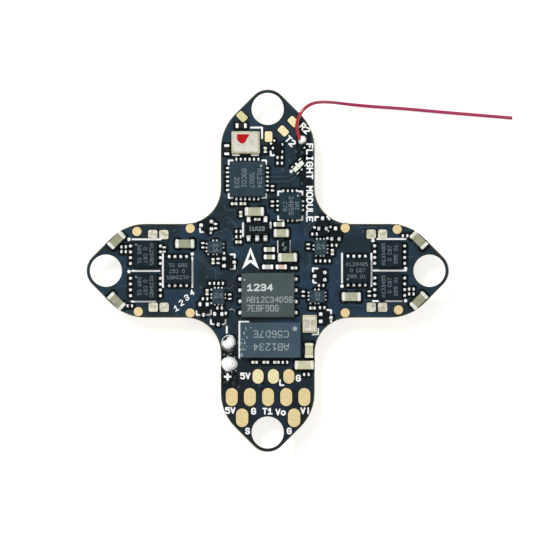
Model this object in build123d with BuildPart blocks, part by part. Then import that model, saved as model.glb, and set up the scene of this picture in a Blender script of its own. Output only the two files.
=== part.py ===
from build123d import *
from math import radians, sqrt, tan
import os

# A flight controller board for a palm-sized quadcopter, in millimetres.
# +X is to the board's right, +Y is the flight direction and +Z is out of its component side.
# The origin is the centre of the four grommet holes, on the board's underside.

# The bare board: a cross whose four arms each end in a grommet hole.
BOARD_THICK = 1.0
HOLE_SQUARE = 26.0
HOLE_REACH = HOLE_SQUARE / sqrt(2)
HOLE_R = 1.83
RIM_R = 2.2
TIP_REACH = HOLE_REACH + RIM_R * sqrt(2)
ARM_HALF = 5.34
SHOULDER_R = 5.5
INNER_CORNER_R = 4.05
EDGE_BREAK = 0.1

# Bare metal pads, as (x, y) or (x, y, turn).
PAD_THICK = 0.05
ROUND_PAD_R = 0.52
ROUND_PADS = [(-14.85, 4.45), (-8.8, 4.8), (-14.7, -4.65), (-8.8, -4.8),
              (8.8, 4.85), (14.7, 4.7), (8.8, -4.8), (14.85, -4.45)]
SQUARE_PAD = 1.05
SQUARE_PAD_CORNER = 0.22
SQUARE_PADS = [(-13.05, 4.1), (-11.8, 4.1), (-13.0, -4.15), (-11.75, -4.15),
               (11.75, 4.15), (13.05, 4.15), (11.75, -4.15), (13.05, -4.15)]
INNER_WIRE_PAD = (1.25, 1.65)
INNER_WIRE_PADS = [(x, -12.0) for x in (-1.1, 0.65, 2.4)]
MIDDLE_WIRE_PAD = (1.35, 2.05)
MIDDLE_WIRE_PADS = [(x, -14.35) for x in (-4.08, -2.02, 0.04, 2.1, 4.16)]
OUTER_WIRE_PAD = (1.4, 2.1)
OUTER_WIRE_PADS = [(-2.9, -16.7), (3.0, -16.7)]
SIGNAL_PAD = (1.2, 0.85)
SIGNAL_PAD_CORNER = 0.2
SIGNAL_PADS = [(0.1, 15.22, 90), (1.77, 15.87, -45), (2.9, 16.92, -45), (-2.92, 17.5, -45)]

# Solder joints: the radius on the board, the height, and where they are.
BATTERY_JOINT_R = 0.8
BATTERY_JOINT_H = 0.7
BATTERY_JOINTS = [(-4.45, -8.15), (-4.4, -10.65)]
ANTENNA_JOINT_R = 0.5
ANTENNA_JOINT_H = 0.52
ANTENNA_JOINT = (3.93, 14.8)

# The antenna: a thin enamelled wire from its solder joint, over the board's edge and along the table.
WIRE_D = 0.4
SOCKET_HEIGHT = 2.95
TABLE_Z = -SOCKET_HEIGHT
WIRE_LIES = TABLE_Z + WIRE_D / 2 + 0.01
ARC_SHARE = 0.45
ANTENNA_ROUTE = [
    (3.66, 14.88, 1.30),
    (3.25, 15.95, 1.38),
    (3.38, 17.12, 1.60),
    (3.98, 18.30, 1.72),
    (5.18, 19.10, 1.35),
    (6.95, 19.22, -0.30),
    (9.00, 19.02, -2.05),
    (11.80, 18.78, WIRE_LIES),
    (15.60, 18.53, WIRE_LIES),
    (19.80, 18.14, WIRE_LIES),
    (23.90, 17.80, WIRE_LIES),
    (27.95, 17.46, WIRE_LIES),
]

# Chips with their terminals underneath: (length, width, height) and (x, y, turn).
MEMORY_CHIP = (6.0, 5.0, 0.8)
MEMORY_PLACE = (0.03, -2.78, 0)
OVERLAY_CHIP = (6.8, 4.0, 0.9)
OVERLAY_PLACE = (0.34, -7.87, 180)
RADIO_CHIP = (4.0, 4.0, 0.85)
RADIO_PLACE = (-2.3, 10.4, 0)
GYRO_CHIP = (2.5, 3.0, 0.86)
GYRO_PLACE = (2.56, 7.38, 0)
CONTROLLER_CHIP = (1.75, 1.4, 0.6)
CONTROLLER_PLACES = [(-5.98, 2.65, 0), (-5.6, -2.9, 90), (6.0, 2.65, 90), (5.6, -2.93, 0)]
MOTOR_TRANSISTOR = (2.8, 3.0, 0.8)
TOP_TRANSISTOR_PLACES = [(-13.88, 1.86, 0), (-13.88, -1.8, 0), (-10.19, -0.04, 90),
                         (10.11, 0.01, 90), (13.85, 1.88, 0), (13.85, -1.77, 0)]
LOAD_SWITCH = (1.3, 1.4, 0.5)
LOAD_SWITCH_PLACE = (1.85, 2.75, 0)
ANTENNA_SWITCH = (0.8, 1.1, 0.4)
ANTENNA_SWITCH_PLACE = (1.15, 13.9, 0)
SIGNAL_DIODE = (1.0, 0.6, 0.45)
SIGNAL_DIODE_PLACE = (6.35, 4.22, 0)
ANTENNA_FILTER = (1.6, 0.8, 0.6)
ANTENNA_FILTER_PLACE = (3.5, 11.85, 45)
CHIP_EDGE = 0.05

# Chips in a moulded body with bent leads.
REGULATOR_BODY = (2.65, 1.55, 1.05)
REGULATOR_PLACE = (-1.2, 4.77)
REGULATOR_PITCH = 0.95
REGULATOR_LEAD = (0.42, 0.62, 0.15)
SIGNAL_BODY = (1.45, 0.8, 0.65)
SIGNAL_LEAD = (0.3, 0.36, 0.13)
SIGNAL_PITCH = 0.82
SIGNAL_PLACES = [(-6.97, 5.15, 90), (-4.38, 0.95, -90), (-7.27, -4.4, 180), (-5.6, -5.5, 180),
                 (5.9, -0.62, 90), (6.6, -5.35, -90), (6.23, 5.36, 0), (7.7, 4.2, 0)]
BODY_GAP = 0.05
BODY_TAPER = 8
LEAD_STUB = 0.1

# Crystals: a ceramic base with a metal lid.
OSCILLATOR = (3.2, 2.5)
OSCILLATOR_PLACE = (-2.5, 14.55)
SMALL_CRYSTAL = (2.0, 1.6)
VIDEO_CRYSTAL_PLACE = (4.77, -6.03, 90)
UNDERSIDE_CRYSTALS = [(3.9, 9.2, 90), (1.2, -5.3, 0)]
CRYSTAL_BASE_H = 0.55
CRYSTAL_LID_H = 0.12
CRYSTAL_RIM = 0.15

# Two-terminal chips: (length, width, height) and the length of one end cap.
LARGE_CHIP = (2.1, 0.98, 0.9)
LARGE_CAP = 0.38
MEDIUM_CHIP = (1.65, 0.92, 0.8)
MEDIUM_CAP = 0.32
SMALL_CHIP = (1.2, 0.52, 0.48)
SMALL_CAP = 0.28
TINY_CHIP = (0.66, 0.32, 0.28)
TINY_CAP = 0.18
LARGE_CAPACITORS = [(-1.5, 6.7, 0), (2.25, 1.5, 0), (4.15, -10.7, 0), (-9.4, 3.05, 0), (9.5, -2.95, 0),
                    (-17.15, 3.45, 45), (-17.15, -3.45, -45), (17.15, 3.45, -45), (17.15, -3.4, 45)]
MEDIUM_CAPACITORS = [(1.55, 4.25, 0), (4.7, -9.05, 90)]
SMALL_CAPACITORS = [(1.3, 5.25, 0), (0.2, 2.4, 0), (0.2, 1.55, 0), (0.0, 0.42, 0), (1.55, 0.42, 0)]
SMALL_RESISTORS = [(-3.0, 16.45, 0), (-4.63, 13.72, 90)]
TINY_CAPACITORS = [(-2.8, 7.6, 0), (-3.8, 7.6, 0), (-3.3, 3.25, 0), (3.0, 0.3, 180), (5.1, -4.25, 0),
                   (-6.2, 1.07, 90), (-6.87, -2.45, 90), (7.35, 2.1, 90), (-0.27, 13.7, 90),
                   (-3.05, 6.42, 90), (-1.18, 5.82, 0),
                   (-1.47, -10.4, 0), (-0.2, -10.4, 0), (1.0, -10.4, 0)]
TINY_RESISTORS = [
    (-3.3, 4.45, 0), (-3.3, 3.85, 0), (1.37, 12.85, 0), (1.37, 12.2, 0),
    (-6.32, -1.45, 0), (-5.33, -1.45, 0), (-7.1, -3.2, 0), (-5.45, -4.25, 0), (5.73, 1.1, 0),
    (6.78, 1.1, 0), (5.33, 4.15, 0), (7.55, 2.88, 0), (6.08, -1.67, 0), (6.2, -4.2, 0),
    (0.55, 7.6, 90), (0.55, 9.35, 90), (-7.35, 2.88, 90), (-5.62, 1.1, 90), (-5.92, 5.05, 90),
    (-4.3, -2.95, 90), (4.05, -2.63, 90), (4.62, 2.75, 90), (-11.75, 2.4, 90), (11.55, -2.6, 90),
    (1.97, -10.4, 0), (4.4, -11.78, 0),
    (-16.35, 2.7, 0), (-16.35, 2.15, 0), (16.32, -2.1, 0), (16.32, -2.65, 0),
    (-15.65, -4.0, 0), (15.6, 3.95, 0),
]

# The underside, which faces the table.
MAIN_PROCESSOR = (7.0, 7.0, 0.9)
MAIN_PROCESSOR_PLACE = (0, 0, 0)
RECEIVER_PROCESSOR = (5.0, 5.0, 0.85)
RECEIVER_PROCESSOR_PLACE = (0, 9.2, 0)
LOW_TRANSISTOR_PLACES = [(side * 7.3, row, 90) for side in (-1, 1) for row in (-3.3, 0, 3.3)]
BAROMETER = (2.0, 2.5, 0.75)
BAROMETER_PLACE = (-2.9, -11.2, 0)
BAROMETER_VENT_R = 0.2
INDUCTOR = (3.0, 3.0, 1.2)
INDUCTOR_PLACE = (-2.6, -7.0)
INDUCTOR_CORNER = 0.5
STATUS_LIGHT = (1.0, 0.5, 0.5)
STATUS_LIGHTS = [(x, 14.2, 0) for x in (-1.5, 0, 1.5)]
LOW_CAPACITORS = [(-3.6, 12.9, 0), (3.2, 12.4, 90), (-4.0, 6.3, 0), (4.0, 6.3, 0), (3.2, -16.3, 0)]
LOW_RESISTORS = (
    [(x, 4.5, 90) for x in (-2.4, -1.2, 0, 1.2, 2.4)]
    + [(side * 4.5, y, 0) for side in (-1, 1) for y in (-2.2, -0.8, 0.8, 2.2)]
    + [(-3.6, y, 0) for y in (7.8, 9.0, 10.2)]
    + [(x, 16.0, 90) for x in (-3.0, -2.2, 2.2, 3.0)]
)
LOW_SMALL_CAPACITORS = [(-0.9, -5.2, 90), (3.6, -5.2, 90), (4.4, -5.2, 90), (-0.6, -9.4, 90), (-0.6, -12.6, 90)]

# Side-entry cable sockets. Each is drawn with its mouth at local Y = 0 and its back at -SOCKET_DEPTH.
PIN_PITCH = 1.0
SOCKET_SIDE = 1.5
SOCKET_DEPTH = 4.1
SOCKET_MOUTH = 5.25
SOCKET_WALL = 0.5
SOCKET_FLOOR = 0.7
KEY_SLOT = 0.6
PIN = 0.25
PIN_Z = 1.35
FOOT = (0.3, 0.75, 0.15)
TAB_THICK = 0.18
TAB_SIZE = 1.3
MOTOR_PINS = 3
MOTOR_SOCKET_X = 12.2
USB_PINS = 4
USB_SOCKET_Y = -11.3

# The boot button: pressed towards the board, it travels BUTTON_TRAVEL.
BUTTON_PLACE = (-2.75, -14.6)
BUTTON_CASE = (3.0, 2.6, 0.8)
BUTTON_COVER_THICK = 0.12
CHAMBER_R = 1.05
CHAMBER_ROOF = 0.15
PLUNGER_R = 0.68
PLUNGER_HOLE_R = 0.75
PLUNGER_REACH = 1.4
FLANGE_R = 0.95
FLANGE_THICK = 0.2
FLANGE_GAP = 0.02
BUTTON_TRAVEL = 0.2

os.makedirs("parts", exist_ok=True)


def save(part, name):
    part.label = name
    export_step(part, f"parts/{name}.step")


def on_top(places, height, lift=0.0):
    """Centres of parts of this height that stand on the component side."""
    z = BOARD_THICK + lift + height / 2
    return [Location((place[0], place[1], z), (0, 0, (*place, 0)[2])) for place in places]


def below(places, height, drop=0.0):
    """Centres of parts of this height that hang from the underside."""
    return [Location((place[0], place[1], -drop - height / 2), (0, 0, (*place, 0)[2])) for place in places]


def boxes(locations, size):
    """One box of this size at each location, joined to the part being built."""
    with Locations(*locations):
        Box(*size)


def end_caps(locations, size, cap):
    """The two metal ends of each two-terminal chip."""
    length, width, height = size
    for location in locations:
        with Locations(location):
            with Locations((-(length - cap) / 2, 0, 0), ((length - cap) / 2, 0, 0)):
                Box(cap, width, height)


def between_caps(size, cap):
    """The body left between the end caps, a little slimmer than they are."""
    length, width, height = size
    return (length - 2 * cap, width * 0.96, height * 0.96)


def leadless_chip(location, size):
    """A flat moulded chip, its upper edges just broken."""
    with BuildPart() as chip:
        boxes([location], size)
        outer = Axis.Z if location.position.Z > 0 else -Axis.Z
        chamfer(chip.faces().sort_by(outer)[-1].edges(), CHIP_EDGE)
    return chip.part


# The bare board.

def board_corners():
    """The cross's corners and the radius that rounds each of them, arm by arm."""
    shoulder = TIP_REACH - ARM_HALF
    one_arm = [
        (ARM_HALF, -ARM_HALF, INNER_CORNER_R),
        (shoulder, -ARM_HALF, SHOULDER_R),
        (TIP_REACH, 0, RIM_R),
        (shoulder, ARM_HALF, SHOULDER_R),
    ]
    corners = []
    for quarter in range(4):
        for x, y, radius in one_arm:
            corners.append((Vector(x, y).rotate(Axis.Z, 90 * quarter), radius))
    return corners


outline = board_corners()
with BuildPart() as circuit_board:
    with BuildSketch():
        with BuildLine():
            FilletPolyline(*[point for point, _ in outline], radius=[r for _, r in outline], close=True)
        make_face()
        with PolarLocations(HOLE_REACH, 4):
            Circle(HOLE_R, mode=Mode.SUBTRACT)
    extrude(amount=BOARD_THICK)
    for rim in (circuit_board.faces().sort_by(Axis.Z)[-1], circuit_board.faces().sort_by(Axis.Z)[0]):
        chamfer(rim.outer_wire().edges(), EDGE_BREAK)
save(circuit_board.part, "circuit_board")


# Bare pads.

with BuildPart() as round_test_pads:
    with Locations(*on_top(ROUND_PADS, PAD_THICK)):
        Cylinder(ROUND_PAD_R, PAD_THICK)
save(round_test_pads.part, "round_test_pads")

with BuildPart() as programming_pads:
    with BuildSketch(Plane.XY.offset(BOARD_THICK)):
        with Locations(*SQUARE_PADS):
            RectangleRounded(SQUARE_PAD, SQUARE_PAD, SQUARE_PAD_CORNER)
    extrude(amount=PAD_THICK)
save(programming_pads.part, "programming_pads")

with BuildPart() as wire_pads:
    with BuildSketch(Plane.XY.offset(BOARD_THICK)):
        for (width, length), places in ((INNER_WIRE_PAD, INNER_WIRE_PADS),
                                        (MIDDLE_WIRE_PAD, MIDDLE_WIRE_PADS),
                                        (OUTER_WIRE_PAD, OUTER_WIRE_PADS)):
            with Locations(*places):
                SlotOverall(length, width, rotation=90)
    extrude(amount=PAD_THICK)
save(wire_pads.part, "wire_pads")

with BuildPart() as signal_pads:
    with BuildSketch(Plane.XY.offset(BOARD_THICK)):
        with Locations(*[Location((x, y), turn) for x, y, turn in SIGNAL_PADS]):
            RectangleRounded(*SIGNAL_PAD, SIGNAL_PAD_CORNER)
    extrude(amount=PAD_THICK)
save(signal_pads.part, "signal_pads")


# Solder joints.

def solder_domes(places, radius, height):
    """A cap of a sphere on the board at each place."""
    ball_r = (radius ** 2 + height ** 2) / (2 * height)
    with BuildPart() as domes:
        with BuildSketch(Plane.XZ) as profile:
            with Locations((0, height - ball_r)):
                Circle(ball_r)
            with Locations((radius * 2, height / 2)):
                Rectangle(radius * 4, height, mode=Mode.INTERSECT)
        revolve(axis=Axis.Z)
    dome = domes.part
    with BuildPart() as joints:
        with Locations(*[(x, y, BOARD_THICK) for x, y in places]):
            add(dome)
    return joints.part


save(solder_domes(BATTERY_JOINTS, BATTERY_JOINT_R, BATTERY_JOINT_H), "battery_solder_joints")
save(solder_domes([ANTENNA_JOINT], ANTENNA_JOINT_R, ANTENNA_JOINT_H), "antenna_solder_joint")


# The antenna wire.

def bend_radii(route):
    """The largest arc that the two runs at each inner point leave room for."""
    points = [Vector(*point) for point in route]
    radii = []
    for before, here, after in zip(points, points[1:], points[2:]):
        turn = (here - before).get_angle(after - here)
        shorter = min((here - before).length, (after - here).length)
        radii.append(ARC_SHARE * shorter / tan(radians(turn / 2)))
    return radii


antenna_radii = bend_radii(ANTENNA_ROUTE)
print("antenna bend radii, mm:", [round(radius, 2) for radius in antenna_radii])
with BuildPart() as antenna_wire:
    with BuildLine() as antenna_path:
        FilletPolyline(*ANTENNA_ROUTE, radius=antenna_radii)
    with BuildSketch(antenna_path.line ^ 0):
        Circle(WIRE_D / 2)
    sweep()
print("antenna length, mm:", round(antenna_path.wires()[0].length, 2))
save(antenna_wire.part, "antenna_wire")


# Leadless chips.

single_chips = {
    "memory_chip": (MEMORY_PLACE, MEMORY_CHIP),
    "video_overlay_chip": (OVERLAY_PLACE, OVERLAY_CHIP),
    "radio_chip": (RADIO_PLACE, RADIO_CHIP),
    "gyro_sensor": (GYRO_PLACE, GYRO_CHIP),
    "load_switch": (LOAD_SWITCH_PLACE, LOAD_SWITCH),
    "antenna_switch": (ANTENNA_SWITCH_PLACE, ANTENNA_SWITCH),
    "signal_diode": (SIGNAL_DIODE_PLACE, SIGNAL_DIODE),
    "antenna_filter": (ANTENNA_FILTER_PLACE, ANTENNA_FILTER),
}
for chip_name, (place, size) in single_chips.items():
    save(leadless_chip(on_top([place], size[2])[0], size), chip_name)
for number, place in enumerate(CONTROLLER_PLACES, 1):
    save(leadless_chip(on_top([place], CONTROLLER_CHIP[2])[0], CONTROLLER_CHIP), f"motor_controller_{number}")
for number, place in enumerate(TOP_TRANSISTOR_PLACES, 1):
    save(leadless_chip(on_top([place], MOTOR_TRANSISTOR[2])[0], MOTOR_TRANSISTOR), f"motor_transistor_{number}")
save(leadless_chip(below([MAIN_PROCESSOR_PLACE], MAIN_PROCESSOR[2])[0], MAIN_PROCESSOR), "main_processor")
save(leadless_chip(below([RECEIVER_PROCESSOR_PLACE], RECEIVER_PROCESSOR[2])[0], RECEIVER_PROCESSOR),
     "receiver_processor")

with BuildPart() as underside_transistors:
    boxes(below(LOW_TRANSISTOR_PLACES, MOTOR_TRANSISTOR[2]), MOTOR_TRANSISTOR)
save(underside_transistors.part, "underside_transistors")


# Parts with bent leads.

def moulded_body(locations, size):
    """Moulded bodies standing just off the board, each narrowing from its middle to its top and underside."""
    length, width, height = size
    with BuildPart() as body:
        with BuildSketch():
            Rectangle(length, width)
        extrude(amount=height / 2, both=True, taper=BODY_TAPER)
    with BuildPart() as bodies:
        with Locations(*locations):
            add(body.part)
    return bodies.part


def bent_leads(centres, row_offset, body_height, lead):
    """Leads at these (x, y, turn) places: a foot on the board, a riser and a stub into the body."""
    width, length, thick = lead
    mid = body_height / 2
    with BuildPart() as one_lead:
        with BuildSketch(Plane.YZ.offset(-width / 2)):
            with BuildLine():
                Polyline((0, 0), (length, 0), (length, thick), (thick, thick), (thick, mid + thick),
                         (-LEAD_STUB, mid + thick), (-LEAD_STUB, mid), (0, mid), close=True)
            make_face()
        extrude(amount=width)
    with BuildPart() as leads:
        for x, y, turn in centres:
            outward = Location((x, y, BOARD_THICK), (0, 0, turn)) * Location((0, row_offset, 0))
            with Locations(outward):
                add(one_lead.part)
    return leads.part


def lead_places(place, spots):
    """Where leads leave a body at place: (step along the body, 1 for its upper side or -1 for its lower)."""
    x, y, turn = (*place, 0)[:3]
    places = []
    for step, side in spots:
        spot = Location((x, y, 0), (0, 0, turn)) * Location((step, 0, 0))
        places.append((spot.position.X, spot.position.Y, turn + (0 if side > 0 else 180)))
    return places


save(moulded_body(on_top([REGULATOR_PLACE], REGULATOR_BODY[2], BODY_GAP), REGULATOR_BODY), "regulator_body")
regulator_spots = [(step * REGULATOR_PITCH, -1) for step in (-1, 0, 1)] + [(-REGULATOR_PITCH, 1), (REGULATOR_PITCH, 1)]
save(bent_leads(lead_places(REGULATOR_PLACE, regulator_spots), REGULATOR_BODY[1] / 2, REGULATOR_BODY[2],
                REGULATOR_LEAD), "regulator_leads")

save(moulded_body(on_top(SIGNAL_PLACES, SIGNAL_BODY[2], BODY_GAP), SIGNAL_BODY), "signal_transistors")
signal_spots = [(-SIGNAL_PITCH / 2, -1), (SIGNAL_PITCH / 2, -1), (0, 1)]
signal_lead_places = [lead for place in SIGNAL_PLACES for lead in lead_places(place, signal_spots)]
save(bent_leads(signal_lead_places, SIGNAL_BODY[1] / 2, SIGNAL_BODY[2], SIGNAL_LEAD), "signal_transistor_leads")


# Crystals.

def crystal(locations_of, places, size):
    """Ceramic bases and their metal lids, as two parts."""
    length, width = size
    with BuildPart() as base:
        boxes(locations_of(places, CRYSTAL_BASE_H), (length, width, CRYSTAL_BASE_H))
    with BuildPart() as lid:
        lid_size = (length - 2 * CRYSTAL_RIM, width - 2 * CRYSTAL_RIM, CRYSTAL_LID_H)
        boxes(locations_of(places, CRYSTAL_LID_H, CRYSTAL_BASE_H), lid_size)
    return base.part, lid.part


for crystal_name, locations_of, places, size in (
    ("radio_oscillator", on_top, [OSCILLATOR_PLACE], OSCILLATOR),
    ("video_crystal", on_top, [VIDEO_CRYSTAL_PLACE], SMALL_CRYSTAL),
    ("underside_crystals", below, UNDERSIDE_CRYSTALS, SMALL_CRYSTAL),
):
    base_part, lid_part = crystal(locations_of, places, size)
    save(base_part, crystal_name)
    save(lid_part, f"{crystal_name}_lids" if len(places) > 1 else f"{crystal_name}_lid")


# Two-terminal chips, the bodies and their end caps as separate nodes.

capacitor_groups = [
    (on_top(LARGE_CAPACITORS, LARGE_CHIP[2]), LARGE_CHIP, LARGE_CAP),
    (below(LOW_CAPACITORS, LARGE_CHIP[2]), LARGE_CHIP, LARGE_CAP),
    (on_top(MEDIUM_CAPACITORS, MEDIUM_CHIP[2]), MEDIUM_CHIP, MEDIUM_CAP),
]
small_capacitor_groups = [
    (on_top(SMALL_CAPACITORS, SMALL_CHIP[2]), SMALL_CHIP, SMALL_CAP),
    (below(LOW_SMALL_CAPACITORS, SMALL_CHIP[2]), SMALL_CHIP, SMALL_CAP),
    (on_top(TINY_CAPACITORS, TINY_CHIP[2]), TINY_CHIP, TINY_CAP),
]
resistor_groups = [
    (on_top(SMALL_RESISTORS, SMALL_CHIP[2]), SMALL_CHIP, SMALL_CAP),
    (on_top(TINY_RESISTORS, TINY_CHIP[2]), TINY_CHIP, TINY_CAP),
    (below(LOW_RESISTORS, TINY_CHIP[2]), TINY_CHIP, TINY_CAP),
]
for chip_name, groups in (("large_capacitor", capacitor_groups),
                          ("small_capacitor", small_capacitor_groups),
                          ("chip_resistor", resistor_groups)):
    with BuildPart() as bodies:
        for locations, size, cap in groups:
            boxes(locations, between_caps(size, cap))
    save(bodies.part, f"{chip_name}s")
    with BuildPart() as ends:
        for locations, size, cap in groups:
            end_caps(locations, size, cap)
    save(ends.part, f"{chip_name}_ends")


# The other underside parts.

with BuildPart() as barometer:
    boxes(below([BAROMETER_PLACE], BAROMETER[2]), BAROMETER)
    fillet(barometer.edges().filter_by(Axis.Z), CHIP_EDGE * 4)
    with Locations(Location((BAROMETER_PLACE[0] + 0.5, BAROMETER_PLACE[1] + 0.7, -BAROMETER[2]), (180, 0, 0))):
        Hole(BAROMETER_VENT_R, depth=BAROMETER[2] / 2)
save(barometer.part, "barometer")

with BuildPart() as boost_inductor:
    boxes(below([INDUCTOR_PLACE], INDUCTOR[2]), INDUCTOR)
    chamfer(boost_inductor.edges().filter_by(Axis.Z), INDUCTOR_CORNER)
save(boost_inductor.part, "boost_inductor")

with BuildPart() as status_lights:
    boxes(below(STATUS_LIGHTS, STATUS_LIGHT[2]), STATUS_LIGHT)
save(status_lights.part, "status_lights")


# Cable sockets.

def socket_plane(x, y, mouth):
    """A plane under the board whose Y axis points out of the socket's mouth and whose Z axis points down."""
    down = Vector(0, 0, -1)
    return Plane(origin=(x, y, 0), x_dir=Vector(*mouth).cross(down), z_dir=down)


def pin_steps(pins):
    return [(step - (pins - 1) / 2) * PIN_PITCH for step in range(pins)]


def socket_shell(plane, pins):
    """A socket's moulded shell: a box open at its mouth, with two key slots in its outer wall."""
    width = (pins - 1) * PIN_PITCH + 2 * SOCKET_SIDE
    inner = width - 2 * SOCKET_WALL
    cavity_h = SOCKET_HEIGHT - SOCKET_FLOOR - SOCKET_WALL
    cavity_deep = SOCKET_DEPTH - SOCKET_FLOOR
    with BuildPart(plane) as shell:
        with Locations((0, -SOCKET_DEPTH / 2, SOCKET_HEIGHT / 2)):
            Box(width, SOCKET_DEPTH, SOCKET_HEIGHT)
        with Locations((0, -cavity_deep / 2, SOCKET_FLOOR + cavity_h / 2)):
            Box(inner, cavity_deep, cavity_h, mode=Mode.SUBTRACT)
        slot_x = inner / 2 - KEY_SLOT
        with Locations((-slot_x, -KEY_SLOT, SOCKET_HEIGHT), (slot_x, -KEY_SLOT, SOCKET_HEIGHT)):
            Box(KEY_SLOT, 2 * KEY_SLOT, 2 * SOCKET_WALL, mode=Mode.SUBTRACT)
    return shell.part


def socket_metal(plane, pins):
    """A socket's pins, each a blade in the cavity with a foot behind the shell, and its two side tabs."""
    width = (pins - 1) * PIN_PITCH + 2 * SOCKET_SIDE
    foot_w, foot_l, foot_h = FOOT
    blade = SOCKET_DEPTH - 2 * SOCKET_FLOOR
    back = -SOCKET_DEPTH
    with BuildPart(plane) as metal:
        with BuildSketch(plane * Plane.YZ.offset(0)) as pin_side:
            with BuildLine():
                Polyline((back + blade + SOCKET_FLOOR, PIN_Z), (back - PIN, PIN_Z), (back - PIN, foot_h),
                         (back - foot_l, foot_h), (back - foot_l, 0), (back, 0), (back, PIN_Z - PIN),
                         (back + blade + SOCKET_FLOOR, PIN_Z - PIN), close=True)
            make_face()
        for step in pin_steps(pins):
            extrude(pin_side.sketch.moved(plane.location * Location((step, 0, 0)) * plane.location.inverse()),
                    amount=PIN / 2, both=True)
        for side in (-1, 1):
            with Locations((side * (width + TAB_THICK) / 2, -TAB_SIZE, TAB_SIZE / 2)):
                Box(TAB_THICK, TAB_SIZE, TAB_SIZE)
            with Locations((side * (width / 2 + TAB_THICK + foot_w), -TAB_SIZE, foot_h / 2)):
                Box(2 * foot_w, TAB_SIZE, foot_h)
    return metal.part


motor_planes = [socket_plane(side * MOTOR_SOCKET_X, mouth * SOCKET_MOUTH, (0, mouth, 0))
                for side in (-1, 1) for mouth in (1, -1)]
for number, plane in enumerate(motor_planes, 1):
    save(socket_shell(plane, MOTOR_PINS), f"motor_socket_{number}")
motor_metal = [socket_metal(plane, MOTOR_PINS) for plane in motor_planes]
with BuildPart() as motor_socket_contacts:
    add(motor_metal)
save(motor_socket_contacts.part, "motor_socket_contacts")

usb_plane = socket_plane(SOCKET_MOUTH, USB_SOCKET_Y, (1, 0, 0))
save(socket_shell(usb_plane, USB_PINS), "usb_socket")
save(socket_metal(usb_plane, USB_PINS), "usb_socket_contacts")


# The boot button: a case on the board, a cover plate that holds the plunger in, and the plunger.

button_x, button_y = BUTTON_PLACE
case_length, case_width, case_height = BUTTON_CASE
cover_face = -case_height - BUTTON_COVER_THICK

with BuildPart() as boot_button_case:
    with Locations((button_x, button_y, -case_height / 2)):
        Box(*BUTTON_CASE)
    with Locations((button_x, button_y, -(case_height + CHAMBER_ROOF) / 2)):
        Cylinder(CHAMBER_R, case_height - CHAMBER_ROOF, mode=Mode.SUBTRACT)
save(boot_button_case.part, "boot_button_case")

with BuildPart() as boot_button_cover:
    with BuildSketch(Plane.XY.offset(cover_face)):
        with Locations(BUTTON_PLACE):
            Rectangle(case_length, case_width)
            Circle(PLUNGER_HOLE_R, mode=Mode.SUBTRACT)
    extrude(amount=BUTTON_COVER_THICK)
save(boot_button_cover.part, "boot_button_cover")

with BuildPart() as boot_button:
    flange_low = -case_height + FLANGE_GAP
    with BuildSketch(Plane.XY.offset(flange_low)):
        with Locations(BUTTON_PLACE):
            Circle(FLANGE_R)
    extrude(amount=FLANGE_THICK)
    with BuildSketch(Plane.XY.offset(-PLUNGER_REACH)):
        with Locations(BUTTON_PLACE):
            Circle(PLUNGER_R)
    extrude(amount=PLUNGER_REACH + flange_low)
    fillet(boot_button.edges().sort_by(Axis.Z)[0], CHIP_EDGE * 2)
save(boot_button.part, "boot_button")
print("boot button travel, mm:", BUTTON_TRAVEL)
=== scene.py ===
import itertools
import math
import random

import bmesh
import bpy
from mathutils import Matrix, Vector
from mathutils.bvhtree import BVHTree


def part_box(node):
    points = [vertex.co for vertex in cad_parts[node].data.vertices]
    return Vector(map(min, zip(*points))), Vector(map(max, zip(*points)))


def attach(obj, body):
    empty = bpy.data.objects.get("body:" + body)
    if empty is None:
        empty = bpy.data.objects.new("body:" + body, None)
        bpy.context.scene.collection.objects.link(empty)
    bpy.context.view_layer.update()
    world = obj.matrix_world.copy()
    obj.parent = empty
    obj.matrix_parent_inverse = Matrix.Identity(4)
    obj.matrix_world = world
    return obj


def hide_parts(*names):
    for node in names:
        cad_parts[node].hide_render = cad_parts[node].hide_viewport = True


# A flight controller board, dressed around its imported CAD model.
# Lengths below are in millimetres on the board, in the CAD's own frame, and MM turns them into metres.

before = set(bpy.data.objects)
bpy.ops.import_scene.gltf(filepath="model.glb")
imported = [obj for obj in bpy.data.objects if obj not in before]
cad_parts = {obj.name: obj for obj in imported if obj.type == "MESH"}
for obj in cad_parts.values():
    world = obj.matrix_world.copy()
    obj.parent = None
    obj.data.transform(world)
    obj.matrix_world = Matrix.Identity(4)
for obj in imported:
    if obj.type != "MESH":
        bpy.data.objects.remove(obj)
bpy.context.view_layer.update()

MM = 0.001
BOARD = "board"
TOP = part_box("circuit_board")[1].z / MM
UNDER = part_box("circuit_board")[0].z / MM
FLOOR_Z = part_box("motor_socket_1")[0].z / MM
random.seed(7)


def put(name, data):
    """A new object in the scene, holding this data."""
    thing = bpy.data.objects.new(name, data)
    bpy.context.scene.collection.objects.link(thing)
    return thing


# ---- camera and cord

VIEW_WIDTH = 62.45
VIEW_CENTRE = (0.83, -0.49)
CAMERA_HEIGHT = 520.0
SENSOR = 36.0


def make_camera():
    """A long lens straight above the board, as the catalogue view is taken."""
    data = bpy.data.cameras.new("camera")
    data.sensor_width = SENSOR
    data.lens = SENSOR * CAMERA_HEIGHT / VIEW_WIDTH
    data.clip_start = 0.02
    data.clip_end = 20
    camera = put("camera", data)
    camera.location = Vector((*VIEW_CENTRE, TOP + CAMERA_HEIGHT)) * MM
    bpy.context.scene.camera = camera


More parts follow.
